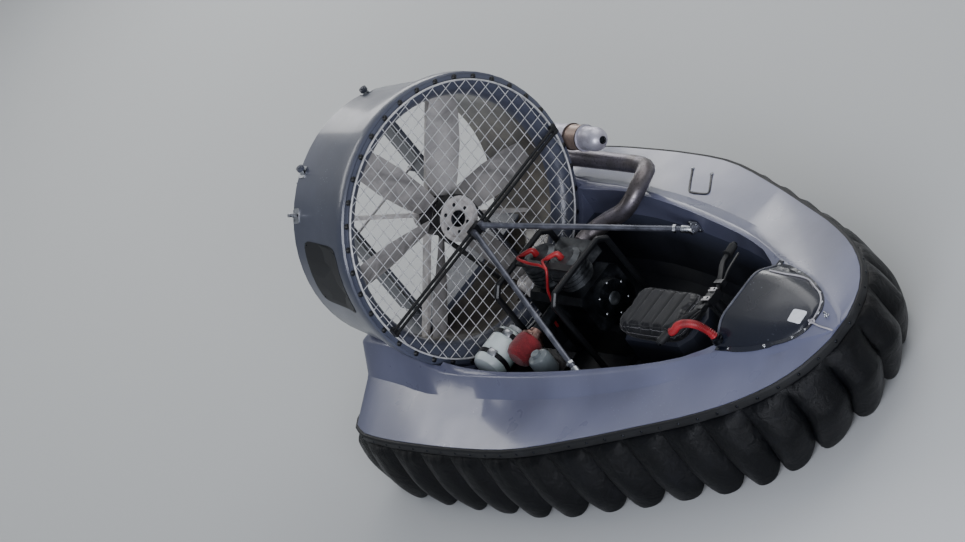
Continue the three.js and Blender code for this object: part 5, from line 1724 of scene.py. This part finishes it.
def makeWelts(chosen, cushion):
    # Two welts round the pad, each with a row of stitches beside it.
    low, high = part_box("seat_cushion")
    centre = (low + high) / 2
    corners = [v.co.copy() for v in cushion.data.vertices]
    surface = BVHTree.FromPolygons(corners, [tuple(p.vertices) for p in cushion.data.polygons])
    tree = dashTree("seatStitches", whiteCord)
    labels = ("Pitch", "Dash Length", "Dash Thickness")
    sizes = {label: size * mm for label, size in zip(labels, chosen["stitch"])}
    top = max(p.z for p in corners)
    for name, (drop, above) in chosen["welts"].items():
        loop = []
        for a in ringAngles(120):
            out = Vector(((high.x - low.x) / (high.y - low.y) * math.cos(a), math.sin(a), 0)).normalized()
            start = Vector((centre.x, centre.y, top - drop * mm)) + out * 0.5
            loop.append(surface.ray_cast(start, -out)[0] - out * 0.0006)
        for _ in range(3):
            loop = [(loop[k - 1] + loop[k] * 2 + loop[(k + 1) % len(loop)]) / 4 for k in range(len(loop))]
        shape = bmesh.new()
        sweep(shape, loop, disc(chosen["weltRadius"], 10), Vector((0, 0, 1)), loop=True)
        finishPiece("seatWelt" + name, shape, seatVinyl, "craft", crease=80)
        seam = []
        for p in loop:
            out = (p - Vector((centre.x, centre.y, p.z))).normalized()
            hit = surface.ray_cast(p + Vector((0, 0, above * mm)) + out * 0.1, -out)[0]
            seam.append((hit or p) + out * 0.0004)
        stitches = grow("seatStitches" + name, tree, sizes, curveThrough(seam, True), "craft")


makeWelts(cushionSet, makeCushion(cushionSet))
print("seat made")


# Floor, world and lights

# The photographed craft heels over, so its sky lies towards port.
skyDirection = (-0.082, 0.737, 0.671)
skyHigh = tuple(Vector(skyDirection) * 5.6 + Vector((0.2, 0, 0.4)))

stageSet = {
    "floorSize": 60,
    "floorColour": "#bfc1c1",
    "skyTones": {0: "#6f747c", 0.42: "#a0a6ae", 0.76: "#b9bfc8", 1: "#f2f5fa"},
    "skyStrength": 0.6,
    "lights": {  # place, aim, size, power and colour
        "overhead": (skyHigh, (0.2, 0, 0.4), (5.2, 4.2), 130, "#ffffff"),
        "sternPort": ((-4.8, 3.5, 1.9), (0.4, 0, 0.5), (4.6, 1.4), 88, "#ffffff"),
        "sternHigh": ((-5.2, -0.7, 4.1), (-0.8, 0, 0.8), (3.4, 0.9), 70, "#ffffff"),
        "bowFill": ((4.6, -3.4, 2.6), (0, 0, 0.5), (3.4, 3.0), 330, "#f1f4ff"),
    },
}


def areaLight(name, place, target, size, power, colour):
    data = bpy.data.lights.new(name, "AREA")
    data.shape = "RECTANGLE"
    data.size, data.size_y = size
    data.energy = power
    data.color = linear(colour)[:3]
    lamp = bpy.data.objects.new(name, data)
    lamp.location = place
    lamp.rotation_euler = (Vector(target) - Vector(place)).to_track_quat("-Z", "Y").to_euler()
    bpy.context.scene.collection.objects.link(lamp)


def makeStage(chosen):
    bpy.ops.mesh.primitive_plane_add(size=chosen["floorSize"])
    floor = bpy.context.object
    floor.name = "floor"
    paint, tree, shader, _ = startFinish("paleFloor", roughness=0.9)
    feed(tree, shader, {"Base Color": linear(chosen["floorColour"])})
    floor.data.materials.append(paint)
    world = bpy.data.worlds.new("studio")
    world.use_nodes = True
    tree = world.node_tree
    toSky = addNode(tree, "ShaderNodeTexCoord").outputs["Generated"]
    height = addNode(tree, "ShaderNodeVectorMath", {0: toSky, 1: skyDirection}, operation="DOT_PRODUCT")
    share = addNode(tree, "ShaderNodeMapRange", {"Value": height, 1: -1, 2: 1, 3: 0, 4: 1})
    glow = addNode(tree, "ShaderNodeValToRGB", {"Fac": share}, chosen["skyTones"])
    feed(tree, tree.nodes["Background"], {"Color": glow, "Strength": chosen["skyStrength"]})
    bpy.context.scene.world = world
    for name, light in chosen["lights"].items():
        areaLight(name, *light)


makeStage(stageSet)
